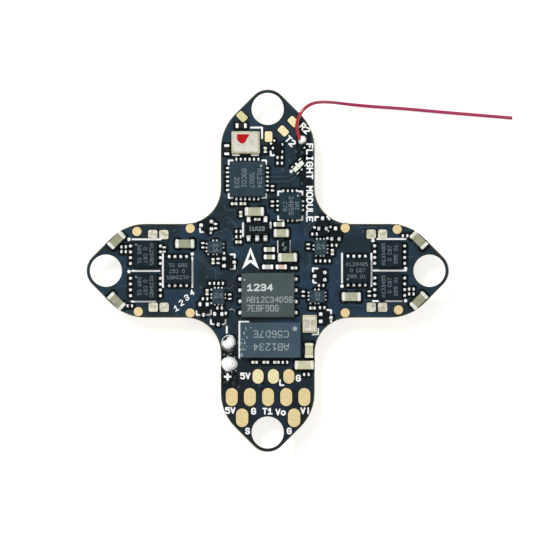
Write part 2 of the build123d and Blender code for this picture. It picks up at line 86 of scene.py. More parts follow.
WIRE_D = 0.4
WIRE_GAP = 0.01
WIRE_LIES = FLOOR_Z + WIRE_D / 2 + WIRE_GAP
ANTENNA_ROUTE = [
    (3.66, 14.88, 1.30),
    (3.25, 15.95, 1.38),
    (3.38, 17.12, 1.60),
    (3.98, 18.30, 1.72),
    (5.18, 19.10, 1.35),
    (6.95, 19.22, -0.30),
    (9.00, 19.02, -2.05),
    (11.80, 18.78, WIRE_LIES),
    (15.60, 18.53, WIRE_LIES),
    (19.80, 18.14, WIRE_LIES),
    (23.90, 17.80, WIRE_LIES),
    (27.95, 17.46, WIRE_LIES),
]


def make_antenna():
    """The enamelled wire, on one smooth line from its solder joint over the edge and along the table."""
    curve = bpy.data.curves.new("antenna", "CURVE")
    curve.dimensions = "3D"
    curve.bevel_depth = 1.0
    curve.bevel_resolution = 6
    curve.resolution_u = 16
    curve.use_fill_caps = True
    spline = curve.splines.new("NURBS")
    spline.points.add(len(ANTENNA_ROUTE) - 1)
    for point, place in zip(spline.points, ANTENNA_ROUTE):
        point.co = (*(Vector(place) * MM), 1)
        point.radius = WIRE_D / 2 * MM
    spline.order_u = 3
    spline.use_endpoint_u = True
    wire = put("antenna", curve)
    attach(wire, BOARD)
    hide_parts("antenna_wire")
    return wire


make_camera()
antenna = make_antenna()


# ---- materials

materials = {}


def new_material(name):
    """An empty node material, kept under its name: its node tree and its shader."""
    material = bpy.data.materials.new(name)
    material.use_nodes = True
    materials[name] = material
    return material.node_tree, material.node_tree.nodes["Principled BSDF"]


def feed(tree, node, inputs):
    """Each input of a node takes a plain value or another node's socket."""
    for name, value in inputs.items():
        if isinstance(value, bpy.types.NodeSocket):
            tree.links.new(value, node.inputs[name])
        else:
            node.inputs[name].default_value = value


def add_node(tree, kind, inputs, **settings):
    node = tree.nodes.new("ShaderNode" + kind)
    for name, value in settings.items():
        setattr(node, name, value)
    feed(tree, node, inputs)
    return node


def rgba(colour):
    """A colour or a grey, with its alpha."""
    return (*colour, 1) if isinstance(colour, tuple) else (colour, colour, colour, 1)


def board_coordinates(tree):
    """A point's place in millimetres, the same on every object."""
    coordinate = add_node(tree, "TexCoord", {})
    inputs = {0: coordinate.outputs["Object"], "Scale": 1 / MM}
    scale = add_node(tree, "VectorMath", inputs, operation="SCALE")
    return scale.outputs[0]


def noise(tree, where, scale, detail=3.0, roughness=0.55):
    inputs = {"Vector": where, "Scale": scale, "Detail": detail, "Roughness": roughness}
    return add_node(tree, "TexNoise", inputs).outputs["Fac"]


def ramp(tree, value, stops):
    """Colours or greys read off a value, between two stops: (position, colour)."""
    node = add_node(tree, "ValToRGB", {"Fac": value})
    for element, (position, colour) in zip(node.color_ramp.elements, stops):
        element.position = position
        element.color = rgba(colour)
    return node.outputs["Color"]


def mix(tree, factor, a, b, kind="MIX"):
    """One colour over another; a and b are colours or sockets."""
    sides = {number: rgba(side) if isinstance(side, tuple) else side for number, side in ((6, a), (7, b))}
    return add_node(tree, "Mix", {"Factor": factor, **sides}, data_type="RGBA", blend_type=kind).outputs[2]


def bump(tree, shader, height, strength, distance_mm):
    node = add_node(tree, "Bump", {"Height": height, "Strength": strength, "Distance": distance_mm * MM})
    tree.links.new(node.outputs["Normal"], shader.inputs["Normal"])


def surface(name, dark, light, grain=1.5, rough=(0.4, 0.55), metal=0.0, specular=0.5, relief=0.15,
            relief_mm=0.01, relief_grain=14.0):
    """The common finish: two close tones in soft patches, uneven gloss and a fine relief."""
    tree, shader = new_material(name)
    where = board_coordinates(tree)
    fine = noise(tree, where, relief_grain, 4.0, 0.6)
    feed(tree, shader, {
        "Base Color": ramp(tree, noise(tree, where, grain), [(0.35, dark), (0.65, light)]),
        "Roughness": ramp(tree, fine, [(0.3, rough[0]), (0.7, rough[1])]),
        "Metallic": metal,
        "Specular IOR Level": specular,
    })
    bump(tree, shader, fine, relief, relief_mm)


FR4_DARK = (0.13, 0.12, 0.06)
FR4_LIGHT = (0.34, 0.32, 0.20)
MASK_BARE = (0.007, 0.020, 0.029)
MASK_COPPER = (0.011, 0.035, 0.063)
SOUTH_FROM = -12.5
SOUTH_TO = -8.5
SOUTH_TONE = 0.45


def mask_material():
    """Solder mask over copper and bare board on the faces, glass fibre where the board was cut."""
    tree, shader = new_material("board_mask")
    where = board_coordinates(tree)
    copper = ramp(tree, noise(tree, where, 0.22, 1.0), [(0.40, 0.0), (0.60, 1.0)])
    cloud = ramp(tree, noise(tree, where, 0.9, 6.0, 0.65), [(0.3, 0.68), (0.7, 1.3)])
    mask = mix(tree, 1.0, mix(tree, copper, MASK_BARE, MASK_COPPER), cloud, "MULTIPLY")
    place = add_node(tree, "SeparateXYZ", {0: where})
    south = add_node(tree, "MapRange", {"Value": place.outputs["Y"], "From Min": SOUTH_FROM,
                                        "From Max": SOUTH_TO, "To Min": SOUTH_TONE})
    mask = mix(tree, 1.0, mask, ramp(tree, south.outputs[0], [(0.0, 0.0), (1.0, 1.0)]), "MULTIPLY")
    layers = add_node(tree, "TexWave", {"Vector": where, "Scale": 1.6, "Distortion": 1.5, "Detail": 2.0},
                      bands_direction="Z")
    cut = ramp(tree, layers.outputs["Fac"], [(0.2, FR4_DARK), (0.7, FR4_LIGHT)])
    normal = add_node(tree, "SeparateXYZ", {0: add_node(tree, "NewGeometry", {}).outputs["True Normal"]})
    flat = add_node(tree, "Math", {0: normal.outputs["Z"]}, operation="ABSOLUTE")
    face = ramp(tree, flat.outputs[0], [(0.90, 0.0), (0.95, 1.0)])
    feed(tree, shader, {
        "Base Color": mix(tree, face, cut, mask),
        "Roughness": ramp(tree, face, [(0.0, 0.75), (1.0, 0.34)]),
        "Specular IOR Level": 0.14,
    })
    bump(tree, shader, noise(tree, where, 6.0, 5.0), 0.12, 0.02)


ENAMEL_RED = (0.38, 0.004, 0.004)
ENAMEL_CRIMSON = (0.34, 0.001, 0.068)
ENAMEL_TURNS = (3.6, 5.2)


def enamel_material():
    """Glossy wire enamel, red near its solder joint and crimson further along."""
    tree, shader = new_material("wire_enamel")
    where = board_coordinates(tree)
    place = add_node(tree, "SeparateXYZ", {0: where})
    along = add_node(tree, "MapRange", {"Value": place.outputs["X"], "From Min": ENAMEL_TURNS[0],
                                        "From Max": ENAMEL_TURNS[1]})
    colour = mix(tree, along.outputs[0], ENAMEL_RED, ENAMEL_CRIMSON)
    patches = ramp(tree, noise(tree, where, 0.8), [(0.3, 0.8), (0.7, 1.2)])
    fine = noise(tree, where, 14.0, 4.0)
    feed(tree, shader, {
        "Base Color": mix(tree, 1.0, colour, patches, "MULTIPLY"),
        "Roughness": ramp(tree, fine, [(0.3, 0.22), (0.7, 0.32)]),
        "Specular IOR Level": 0.3,
        "Coat Weight": 1.0,
        "Coat Roughness": 0.03,
    })
    bump(tree, shader, fine, 0.05, 0.01)


mask_material()
enamel_material()

GOLD = {"grain": 5.0, "rough": (0.3, 0.44), "metal": 0.4, "relief": 0.4, "relief_grain": 12.0}
TINNED = {"grain": 4.0, "rough": (0.24, 0.4), "relief": 0.5, "relief_mm": 0.02, "relief_grain": 7.0}
EPOXY = {"grain": 0.8, "rough": (0.5, 0.68), "specular": 0.10, "relief": 0.5, "relief_grain": 22.0}
LID = {"rough": (0.38, 0.5), "relief": 0.2, "relief_grain": 9.0}
CAPACITOR = {"grain": 2.2, "rough": (0.45, 0.65), "relief": 0.3, "relief_grain": 16.0}
LASER = {"grain": 5.0, "rough": (0.6, 0.75)}

surface("trace_mask", (0.02, 0.044, 0.066), (0.036, 0.062, 0.086), rough=(0.32, 0.42), specular=0.18)
surface("silk_ink", (0.92, 0.93, 0.92), 0.99, grain=6.0, rough=(0.55, 0.7), relief=0.1)
surface("immersion_gold", (0.62, 0.47, 0.22), (0.74, 0.6, 0.32), **dict(GOLD, grain=5.5, metal=0.45))
surface("pale_gold", (0.68, 0.58, 0.32), (0.8, 0.71, 0.43), **GOLD)
surface("green_gold", (0.49, 0.46, 0.21), (0.61, 0.57, 0.28), **GOLD)
surface("probed_gold", (0.42, 0.4, 0.29), (0.68, 0.67, 0.55), grain=2.2, rough=(0.25, 0.5), metal=0.4,
        relief=0.6, relief_mm=0.02, relief_grain=8.0)
surface("tin", (0.94, 0.96, 0.95), 0.99, specular=0.8, **dict(TINNED, grain=2.4, relief=0.3))
surface("end_tin", (0.58, 0.61, 0.54), (0.84, 0.86, 0.79), metal=0.1, **TINNED)
surface("warm_tin", (0.62, 0.6, 0.44), (0.84, 0.82, 0.66), **dict(TINNED, rough=(0.28, 0.42)))
surface("solder", (0.93, 0.94, 0.93), (0.99, 0.99, 0.98), grain=1.0, rough=(0.15, 0.3), specular=1.0,
        relief=0.6, relief_mm=0.05, relief_grain=2.6)
surface("epoxy", (0.003, 0.011, 0.018), (0.008, 0.017, 0.025), **EPOXY)
surface("gyro_epoxy", (0.009, 0.028, 0.041), (0.015, 0.037, 0.052), **EPOXY)
surface("black_epoxy", (0.002, 0.005, 0.007), (0.005, 0.009, 0.012),
        **dict(EPOXY, rough=(0.45, 0.6), specular=0.08))
surface("radio_epoxy", (0.006, 0.027, 0.041), (0.011, 0.036, 0.053),
        **dict(EPOXY, grain=0.7, rough=(0.48, 0.6), specular=0.22))
surface("controller_epoxy", (0.002, 0.01, 0.018), (0.05, 0.086, 0.112),
        **dict(EPOXY, grain=5.0, rough=(0.42, 0.6), specular=0.12, relief_grain=20.0))
surface("memory_epoxy", (0.044, 0.068, 0.068), (0.056, 0.082, 0.082),
        **dict(EPOXY, grain=0.6, rough=(0.5, 0.66), specular=0.25, relief=0.6))
surface("overlay_epoxy", (0.028, 0.062, 0.088), (0.037, 0.076, 0.106),
        **dict(EPOXY, grain=0.6, rough=(0.45, 0.62), specular=0.25))
surface("crystal_ceramic", (0.46, 0.42, 0.24), (0.7, 0.66, 0.42), rough=(0.4, 0.6), relief=0.2)
surface("crystal_lid", (0.47, 0.45, 0.38), (0.6, 0.57, 0.5), grain=1.2, metal=0.35, **LID)
surface("grey_lid", (0.5, 0.47, 0.38), (0.66, 0.62, 0.54), grain=2.2, metal=0.4, **LID)
surface("capacitor_ceramic", (0.34, 0.34, 0.22), (0.46, 0.46, 0.31), **CAPACITOR)
surface("dark_capacitor", (0.23, 0.24, 0.14), (0.33, 0.33, 0.22), **CAPACITOR)
surface("pale_capacitor", (0.5, 0.48, 0.3), (0.62, 0.6, 0.4), **dict(CAPACITOR, grain=2.0))
surface("grey_capacitor", (0.5, 0.5, 0.46), (0.66, 0.66, 0.62), **dict(CAPACITOR, grain=1.6))
surface("pink_capacitor", (0.62, 0.36, 0.26), (0.74, 0.48, 0.36), **dict(CAPACITOR, grain=1.6))
surface("resistor_film", (0.002, 0.003, 0.004), (0.008, 0.008, 0.01), grain=2.0, rough=(0.35, 0.5),
        specular=0.2)
surface("filter_ceramic", (0.6, 0.66, 0.52), (0.92, 0.96, 0.86), grain=5.0, rough=(0.35, 0.5))
surface("socket_nylon", (0.62, 0.57, 0.44), (0.74, 0.7, 0.57), grain=0.5, rough=(0.42, 0.55), relief=0.25,
        relief_grain=12.0)
surface("contact_tin", (0.62, 0.6, 0.54), (0.82, 0.8, 0.74), rough=(0.22, 0.36), metal=0.8)
surface("ferrite", (0.04, 0.04, 0.045), (0.09, 0.09, 0.095), grain=2.5, rough=(0.5, 0.75), relief=0.7,
        relief_mm=0.02, relief_grain=9.0)
surface("black_plastic", (0.01, 0.01, 0.011), (0.02, 0.02, 0.022), grain=1.0, rough=(0.38, 0.5), relief=0.25)
surface("button_steel", 0.5, 0.66, grain=1.0, rough=(0.25, 0.38), metal=0.9)
surface("light_resin", (0.72, 0.7, 0.52), (0.84, 0.83, 0.72), grain=2.0, rough=(0.15, 0.25))
surface("red_paint", (0.36, 0.0, 0.0), (0.48, 0.001, 0.001), grain=2.6, rough=(0.4, 0.5), specular=0.12)
surface("brown_ink", (0.3, 0.27, 0.21), (0.42, 0.38, 0.3), grain=3.0, rough=(0.5, 0.6))
surface("bright_laser", (0.5, 0.56, 0.53), (0.66, 0.72, 0.69), **LASER)
surface("laser_mark", (0.2, 0.25, 0.25), (0.36, 0.41, 0.41), relief=0.4, **LASER)
surface("dim_laser", (0.08, 0.1, 0.11), (0.2, 0.24, 0.25), **dict(LASER, grain=6.0))
surface("faint_laser", (0.12, 0.165, 0.19), (0.24, 0.3, 0.33), **LASER)
# Near-black glossy flux: the darkness round the battery joints and in their hollows is painted shade.
surface("dark_flux_and_shade", (0.001, 0.002, 0.002), (0.012, 0.017, 0.018), grain=3.5, rough=(0.12, 0.3),
        specular=0.25, relief=0.5, relief_mm=0.02, relief_grain=5.0)
surface("burnt_flux", (0.06, 0.055, 0.045), (0.2, 0.18, 0.15), grain=4.0, rough=(0.2, 0.4), specular=0.3)
surface("flux_glint", (0.16, 0.24, 0.27), (0.62, 0.72, 0.74), grain=6.0, rough=(0.1, 0.3), relief=0.5,
        relief_mm=0.02, relief_grain=6.0)
# Near-black bare board in each mask opening; round a solder joint this dark ring is painted shade.
surface("bare_board_and_shade", (0.001, 0.002, 0.002), (0.002, 0.004, 0.004), grain=3.0, rough=(0.6, 0.8),
        specular=0.03)
# Darker mask without copper under it; round the joints and along the overlay chip's left edge this darkness
# is painted shade.
surface("bare_mask_and_shade", (0.002, 0.006, 0.008), (0.005, 0.013, 0.018), grain=1.2, rough=(0.34, 0.44),
        specular=0.07, relief=0.12)


# ---- the CAD nodes

WELD_GAP = 0.001
BEVEL_ANGLE = 40


def ease_edges(piece, radius):
    soft = piece.modifiers.new("eased_edges", "BEVEL")
    soft.width = radius * MM
    soft.segments = 3
    return soft


def dress(node, material, edge):
    """The node's finish, and its sharp edges eased by the given radius."""
    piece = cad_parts[node]
    piece.data.materials.clear()
    piece.data.materials.append(materials[material])
    if edge:
        weld = piece.modifiers.new("weld", "WELD")
        weld.merge_threshold = WELD_GAP * MM
        soft = ease_edges(piece, edge)
        soft.limit_method = "ANGLE"
        soft.angle_limit = math.radians(BEVEL_ANGLE)
        soft.harden_normals = True


def numbered(stem, count):
    return " ".join(f"{stem}_{number}" for number in range(1, count + 1))


# Each finish, the radius of its eased edges, and the nodes that wear it.
FINISHES = [
    ("board_mask", 0.0, "circuit_board"),
    ("immersion_gold", 0.02, "round_test_pads wire_pads"),
    ("probed_gold", 0.02, "programming_pads"),
    ("pale_gold", 0.02, "signal_pads"),
    ("memory_epoxy", 0.03, "memory_chip"),
    ("overlay_epoxy", 0.03, "video_overlay_chip"),
    ("radio_epoxy", 0.03, "radio_chip"),
    ("gyro_epoxy", 0.03, "gyro_sensor"),
    ("controller_epoxy", 0.03, numbered("motor_controller", 4)),
    ("epoxy", 0.03, "main_processor receiver_processor"),
    ("epoxy", 0.04, "underside_transistors " + numbered("motor_transistor", 6)),
    ("black_epoxy", 0.04, "regulator_body"),
    ("black_epoxy", 0.03, "signal_transistors signal_diode antenna_switch load_switch"),
    ("tin", 0.03, "regulator_leads signal_transistor_leads"),
    ("tin", 0.05, "small_capacitor_ends chip_resistor_ends"),
    ("end_tin", 0.08, "large_capacitor_ends"),
    ("capacitor_ceramic", 0.04, "large_capacitors"),
    ("capacitor_ceramic", 0.03, "small_capacitors"),
    ("resistor_film", 0.02, "chip_resistors"),
    ("crystal_ceramic", 0.05, "radio_oscillator video_crystal underside_crystals"),
    ("crystal_lid", 0.04, "radio_oscillator_lid underside_crystals_lids"),
    ("crystal_lid", 0.06, "barometer"),
    ("grey_lid", 0.04, "video_crystal_lid"),
    ("filter_ceramic", 0.05, "antenna_filter"),
    ("ferrite", 0.10, "boost_inductor"),
    ("light_resin", 0.04, "status_lights"),
    ("socket_nylon", 0.06, "usb_socket " + numbered("motor_socket", 4)),
    ("contact_tin", 0.03, "usb_socket_contacts motor_socket_contacts"),
    ("black_plastic", 0.04, "boot_button_case"),
    ("black_plastic", 0.0, "boot_button"),
    ("button_steel", 0.03, "boot_button_cover"),
    ("solder", 0.0, "antenna_solder_joint battery_solder_joints"),
    ("wire_enamel", 0.0, "antenna_wire"),
]
for finish, edge_radius, nodes in FINISHES:
    for node_name in nodes.split():
        dress(node_name, finish, edge_radius)
antenna.data.materials.append(materials["wire_enamel"])


# ---- shapes

STAGGER = 0.0004
STAGGER_STEPS = 17
CAP_STEPS = 8
turns = itertools.count()


def add_piece(name, mesh_builder, material, rounded=False):
    """A new mesh piece that rides on the board."""
    mesh = bpy.data.meshes.new(name)
    bmesh.ops.recalc_face_normals(mesh_builder, faces=mesh_builder.faces)
    mesh_builder.to_mesh(mesh)
    mesh_builder.free()
    mesh.materials.append(materials[material])
    for polygon in mesh.polygons:
        polygon.use_smooth = rounded
    piece = put(name, mesh)
    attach(piece, BOARD)
    return piece


def add_plate(builder, outline, low, high):
    """A flat plate with this outline, between two heights."""
    rings = [[builder.verts.new(Vector((x, y, z)) * MM) for x, y in outline] for z in (low, high)]
    builder.faces.new(rings[0])
    builder.faces.new(rings[1])
    for here in range(len(outline)):
        after = (here + 1) % len(outline)
        builder.faces.new((rings[0][here], rings[0][after], rings[1][after], rings[1][here]))


def ring_points(x, y, radius, count=20):
    return [(x + radius * math.cos(math.tau * step / count), y + radius * math.sin(math.tau * step / count))
            for step in range(count)]


def add_stroke(builder, points, width, low, high):
    """A printed line through the points, with round ends: each run is a plate at a height of its own."""
    half = width / 2
    for start, end in zip(points, points[1:]):
        heading = math.atan2(end[1] - start[1], end[0] - start[0])
        outline = []
        for centre, from_angle in ((end, heading - math.pi / 2), (start, heading + math.pi / 2)):
            for step in range(CAP_STEPS + 1):
                angle = from_angle + math.pi * step / CAP_STEPS
                outline.append((centre[0] + half * math.cos(angle), centre[1] + half * math.sin(angle)))
        lift = STAGGER * (next(turns) % STAGGER_STEPS) * (1 if high > low else -1)
        add_plate(builder, outline, low, high + lift)


# A plotter-style alphabet on a grid 4 wide and 6 high: each stroke is a list of grid points, x then y.
GLYPH_WIDTH = 4
GLYPH_HEIGHT = 6
GLYPH_ADVANCE = 6.0
GLYPHS = dict(row.split(": ") for row in """\
0: 01 05 16 36 45 41 30 10 01
1: 04 26 20,00 40
2: 05 16 36 45 44 00 40
3: 05 16 36 45 44 33 13,33 42 41 30 10 01
4: 30 36 02 42
5: 46 06 04 34 43 41 30 10 01
6: 45 36 16 05 01 10 30 41 42 33 03
7: 06 46 10
8: 13 04 05 16 36 45 44 33 13 02 01 10 30 41 42 33
9: 01 10 30 41 45 36 16 05 04 13 43
A: 00 04 26 44 40,02 42
B: 00 06 36 45 44 33 03,33 42 41 30 00
C: 45 36 16 05 01 10 30 41
D: 00 06 26 44 42 20 00
E: 46 06 00 40,03 33
F: 46 06 00,03 33
G: 45 36 16 05 01 10 30 41 43 23
H: 00 06,40 46,03 43
I: 20 26,10 30,16 36
L: 06 00 40
M: 00 06 23 46 40
N: 00 06 40 46
O: 01 05 16 36 45 41 30 10 01
R: 00 06 36 45 44 33 03,23 40
S: 45 36 16 05 04 13 33 42 41 30 10 01
T: 06 46,26 20
U: 06 01 10 30 41 46
V: 06 20 46
i: 20 24,25 26
o: 01 03 14 34 43 41 30 10 01
|: 20 26""".splitlines())


def add_words(builder, words, x, y, height, turn, low, thick, stroke, squeeze=1.0, face=1):
    """Plotted lettering centred at (x, y): face is 1 on an upward surface and -1 on a downward one."""
    unit = height / GLYPH_HEIGHT
    span = (GLYPH_ADVANCE * (len(words) - 1) + GLYPH_WIDTH) * unit * squeeze
    rotation = Matrix.Rotation(math.radians(turn), 2)
    for place, letter in enumerate(words):
        for stroke_text in GLYPHS.get(letter, "").split(","):
            points = []
            for pair in stroke_text.split():
                across = (place * GLYPH_ADVANCE + int(pair[0])) * unit * squeeze - span / 2
                spot = rotation @ Vector((across, int(pair[1]) * unit - height / 2))
                points.append((x + face * spot.x, y + spot.y))
            add_stroke(builder, points, stroke, low, low + face * thick)


def board_faces():
    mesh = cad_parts["circuit_board"].data
    points = [vertex.co for vertex in mesh.vertices]
    return BVHTree.FromPolygons(points, [polygon.vertices for polygon in mesh.polygons])


BOARD_FACES = board_faces()
MOUND = 4.5
PULLS = 16


def keep_on_board(spot, middle):
    """The spot, drawn in towards the middle of its piece until there is board under it."""
    for pull in range(PULLS):
        place = spot.lerp(middle, pull / PULLS)
        if BOARD_FACES.ray_cast(Vector((*place, TOP + 1)) * MM, Vector((0, 0, -1)))[0] is not None:
            return place
    return middle


def close_mound(builder, levels, tip):
    """The faces of a mound: its foot, its sides between the rings of points, and a cone up to its tip."""
    builder.faces.new(levels[0])
    peak = builder.verts.new(Vector(tip) * MM)
    count = len(levels[0])
    for step in range(count):
        after = (step + 1) % count
        for outer, inner in zip(levels, levels[1:]):
            builder.faces.new((outer[step], outer[after], inner[after], inner[step]))
        builder.faces.new((levels[-1][step], levels[-1][after], peak))


BLOB_RINGS = 4
BLOB_AROUND = 18
BLOB_LEAN = 0.12
PAD_POWER = 3.6
DROP_POWER = 2.0


def add_blob(builder, x, y, length, width, turn, base, height, power=PAD_POWER, unevenness=0.07):
    """A low, uneven and nearly flat-topped mound on a rounded rectangle, or on an oval at DROP_POWER."""
    middle = Vector((x, y))
    rotation = Matrix.Rotation(math.radians(turn), 2)
    lean = Vector([random.uniform(-BLOB_LEAN, BLOB_LEAN) * side for side in (length, width)])
    wobble = [1 + random.uniform(-unevenness, unevenness) for _ in range(BLOB_AROUND)]
    levels = []
    for ring in range(BLOB_RINGS):
        share = 1 - ring / BLOB_RINGS
        level = []
        for step in range(BLOB_AROUND):
            angle = math.tau * step / BLOB_AROUND
            c, s = math.cos(angle), math.sin(angle)
            reach = (abs(c) ** power + abs(s) ** power) ** (-1 / power) * wobble[step] * share
            spot = rotation @ (Vector((c * reach * length / 2, s * reach * width / 2)) + lean * (1 - share))
            z = base + height * (1 - share ** MOUND)
            level.append(builder.verts.new(Vector((*keep_on_board(middle + spot, middle), z)) * MM))
        levels.append(level)
    close_mound(builder, levels, (*(middle + rotation @ lean), base + height))


# Round every solder joint go a near-black opening in the mask and a wider ring of darker mask without copper;
# both are partly painted shade round the joint.
OPENING_EDGE = 0.10
OPENING_CUT = 0.7
OPENING = 0.006
SHADE_CLEARANCE = 0.27
SHADE_CLEARANCE_CUT = 0.6
SHADE_CLEARING = 0.0012
openings_and_shade = bmesh.new()
clearings_and_shade = bmesh.new()


def soft_rectangle(x, y, length, width, turn, margin, cut):
    """A rectangle with its corners cut, this much larger all round, and kept on the board."""
    rotation = Matrix.Rotation(math.radians(turn), 2)
    middle = Vector((x, y))
    half_x, half_y = length / 2 + margin, width / 2 + margin
    ends = ((-1, -cut), (-cut, -1), (cut, -1), (1, -cut), (1, cut), (cut, 1), (-cut, 1), (-1, cut))
    return [keep_on_board(middle + rotation @ Vector((u * half_x, v * half_y)), middle) for u, v in ends]


def add_opening_and_shade(x, y, length, width, turn, base=TOP, side=1):
    """The opening in the solder mask round a pad, in near-black bare board; round a solder joint this dark
    ring is painted shade.
    """
    rise = OPENING + STAGGER * (next(turns) % STAGGER_STEPS)
    outline = soft_rectangle(x, y, length, width, turn, OPENING_EDGE, OPENING_CUT)
    add_plate(openings_and_shade, outline, base, base + side * rise)


def add_joint(builder, x, y, length, width, turn, height):
    """A mound of solder in its opening in the mask, with no copper under the mask close round it: the
    near-black opening and the darker ring round it are partly painted shade round the joint.

    A height under zero puts it on the underside.
    """
    base, side = (TOP, 1) if height > 0 else (UNDER, -1)
    add_blob(builder, x, y, length, width, turn, base, height)
    add_opening_and_shade(x, y, length, width, turn, base, side)
    lift = SHADE_CLEARING + STAGGER / 2 * (next(turns) % STAGGER_STEPS)
    outline = soft_rectangle(x, y, length, width, turn, SHADE_CLEARANCE, SHADE_CLEARANCE_CUT)
    add_plate(clearings_and_shade, outline, base, base + side * lift)


def solids_of(node):
    """Each separate solid of a node, as (x, y, length, width, turn, low, high) in millimetres."""
    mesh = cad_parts[node].data
    keys = [tuple(round(value / MM, 3) for value in vertex.co) for vertex in mesh.vertices]
    parent = {key: key for key in keys}

    def root(key):
        while parent[key] != key:
            parent[key] = parent[parent[key]]
            key = parent[key]
        return key

    for polygon in mesh.polygons:
        first, *others = (keys[index] for index in polygon.vertices)
        for key in others:
            parent[root(key)] = root(first)
    groups = {}
    for key in parent:
        groups.setdefault(root(key), []).append(key)
    found = []
    for points in groups.values():
        low, high = min(point[2] for point in points), max(point[2] for point in points)
        best = None
        for angle in (0.0, math.radians(45)):
            c, s = math.cos(angle), math.sin(angle)
            along = [px * c + py * s for px, py, _ in points]
            across = [py * c - px * s for px, py, _ in points]
            size = (max(along) - min(along), max(across) - min(across))
            if best is None or size[0] * size[1] < best[0] * 0.99:
                middle = ((max(along) + min(along)) / 2, (max(across) + min(across)) / 2)
                best = (size[0] * size[1], size, middle, angle)
        _, size, middle, angle = best
        x = middle[0] * math.cos(angle) - middle[1] * math.sin(angle)
        y = middle[0] * math.sin(angle) + middle[1] * math.cos(angle)
        found.append((x, y, size[0], size[1], math.degrees(angle), low, high))
    return sorted(found)


def corners(node):
    low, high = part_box(node)
    return low / MM, high / MM


def centre_of(node):
    low, high = corners(node)
    return (low + high) / 2


# ---- tones of single parts

NEAR = 0.9


def tone(node, material, places):
    """Gives the solids of a node nearest to these places a finish of their own."""
    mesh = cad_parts[node].data
    if material not in mesh.materials:
        mesh.materials.append(materials[material])
    number = mesh.materials.find(material)
    for polygon in mesh.polygons:
        centre = polygon.center / MM
        if centre.z > 0 and any(abs(centre.x - x) < NEAR and abs(centre.y - y) < NEAR for x, y in places):
            polygon.material_index = number


ARM_CORNERS = [(x, y) for x in (-17.15, 17.15) for y in (-3.4, 3.4)]
tone("large_capacitors", "dark_capacitor", [*ARM_CORNERS, (-9.4, 3.05)])
tone("large_capacitors", "pale_capacitor", [(4.15, -10.7), (4.9, -8.4)])
tone("small_capacitors", "grey_capacitor", [(0.0, 0.42)])
tone("small_capacitors", "pink_capacitor", [(1.55, 0.42)])
tone("large_capacitor_ends", "warm_tin", [(3.3, -10.7), (5.0, -10.7), (4.9, -7.8), (4.9, -9.0)])
tone("signal_pads", "green_gold", [(-2.92, 17.5)])
tone("wire_pads", "pale_gold", [(-1.1, -12.0), (0.65, -12.0)])


# ---- solder

FILLETS = {
    "large_capacitor_ends": (0.16, 0.12, 0.30),
    "small_capacitor_ends": (0.14, 0.08, 0.16),
    "chip_resistor_ends": (0.15, 0.09, 0.16),
    "regulator_leads": (0.12, 0.16, 0.42),
    "signal_transistor_leads": (0.14, 0.18, 0.24),
}


def solder_fillets():
    """Solder that runs up the foot of every end cap and lead."""
    builder = bmesh.new()
    for node, (spread_x, spread_y, height) in FILLETS.items():
        for x, y, length, width, turn, _, high in solids_of(node):
            rise = height if high > 0 else -height
            add_joint(builder, x, y, length + spread_x, width + spread_y, turn, rise)
    add_piece("solder_fillets", builder, "tin", rounded=True)


RIGHT, LEFT, FORWARD, BACK = (1, 0), (-1, 0), (0, 1), (0, -1)


TERMINAL_HEIGHT = 0.16
CONTROLLER_TERMINAL_HEIGHT = 0.12
LOOSE_TERMINAL_HEIGHT = 0.14


def add_terminals(builder, node, side, offsets, width, length, overhang, height=TERMINAL_HEIGHT):
    """Soldered terminals along one side of a chip, their middles this far outside it."""
    low, high = corners(node)
    middle = (low + high) / 2
    rise = height if middle.z > 0 else -height
    out_x, out_y = (high.x - low.x) / 2 + overhang, (high.y - low.y) / 2 + overhang
    for offset in offsets:
        if side[0]:
            add_joint(builder, middle.x + side[0] * out_x, middle.y + offset, length, width, 0, rise)
        else:
            add_joint(builder, middle.x + offset, middle.y + side[1] * out_y, width, length, 0, rise)


def even(count, pitch, shift=0.0):
    return [(step - (count - 1) / 2) * pitch + shift for step in range(count)]


CONTROLLER_TERMINALS = {
    1: {FORWARD: (-0.22, 0.2), LEFT: (0.4, -0.05, -0.45), RIGHT: (0.38, -0.03), BACK: (-0.75, -0.2, 0.2)},
    2: {FORWARD: (-0.4, 0.0, 0.4), LEFT: (0.75, 0.2, -0.2, -0.8), RIGHT: (0.2, -0.2), BACK: (-0.4, 0.0, 0.4)},
    3: {FORWARD: (-0.4, 0.0, 0.4), LEFT: (0.2, -0.23), RIGHT: (0.2, -0.2, -0.6), BACK: (-0.5, 0.0, 0.35)},
    4: {FORWARD: (-0.22, 0.2), LEFT: (0.43, 0.05, -0.37), RIGHT: (0.43, 0.05, -0.37),
        BACK: (-0.75, -0.2, 0.2)},
}
LOOSE_TERMINALS = [
    (-4.98, 1.98, 0.34, 0.4), (-6.47, 4.3, 0.34, 0.34), (-5.93, 5.3, 0.4, 0.3), (-4.75, -4.85, 0.3, 0.42),
    (1.65, 14.32, 0.3, 0.3), (1.63, 13.5, 0.28, 0.36), (0.6, 13.92, 0.3, 0.34), (0.75, 14.76, 0.3, 0.3),
    (0.38, 14.43, 0.3, 0.3), (5.32, 4.9, 0.36, 0.34), (7.12, 4.95, 0.34, 0.34), (6.78, 3.7, 0.3, 0.42),
    (6.85, 4.45, 0.34, 0.3), (7.18, -5.75, 0.32, 0.36), (4.18, 13.95, 0.22, 0.22), (-3.58, 13.14, 1.0, 0.3),
    (-1.45, 13.14, 1.05, 0.3),
]
OUTER_TRANSISTORS = [f"motor_transistor_{number}" for number in (1, 2, 5, 6)]
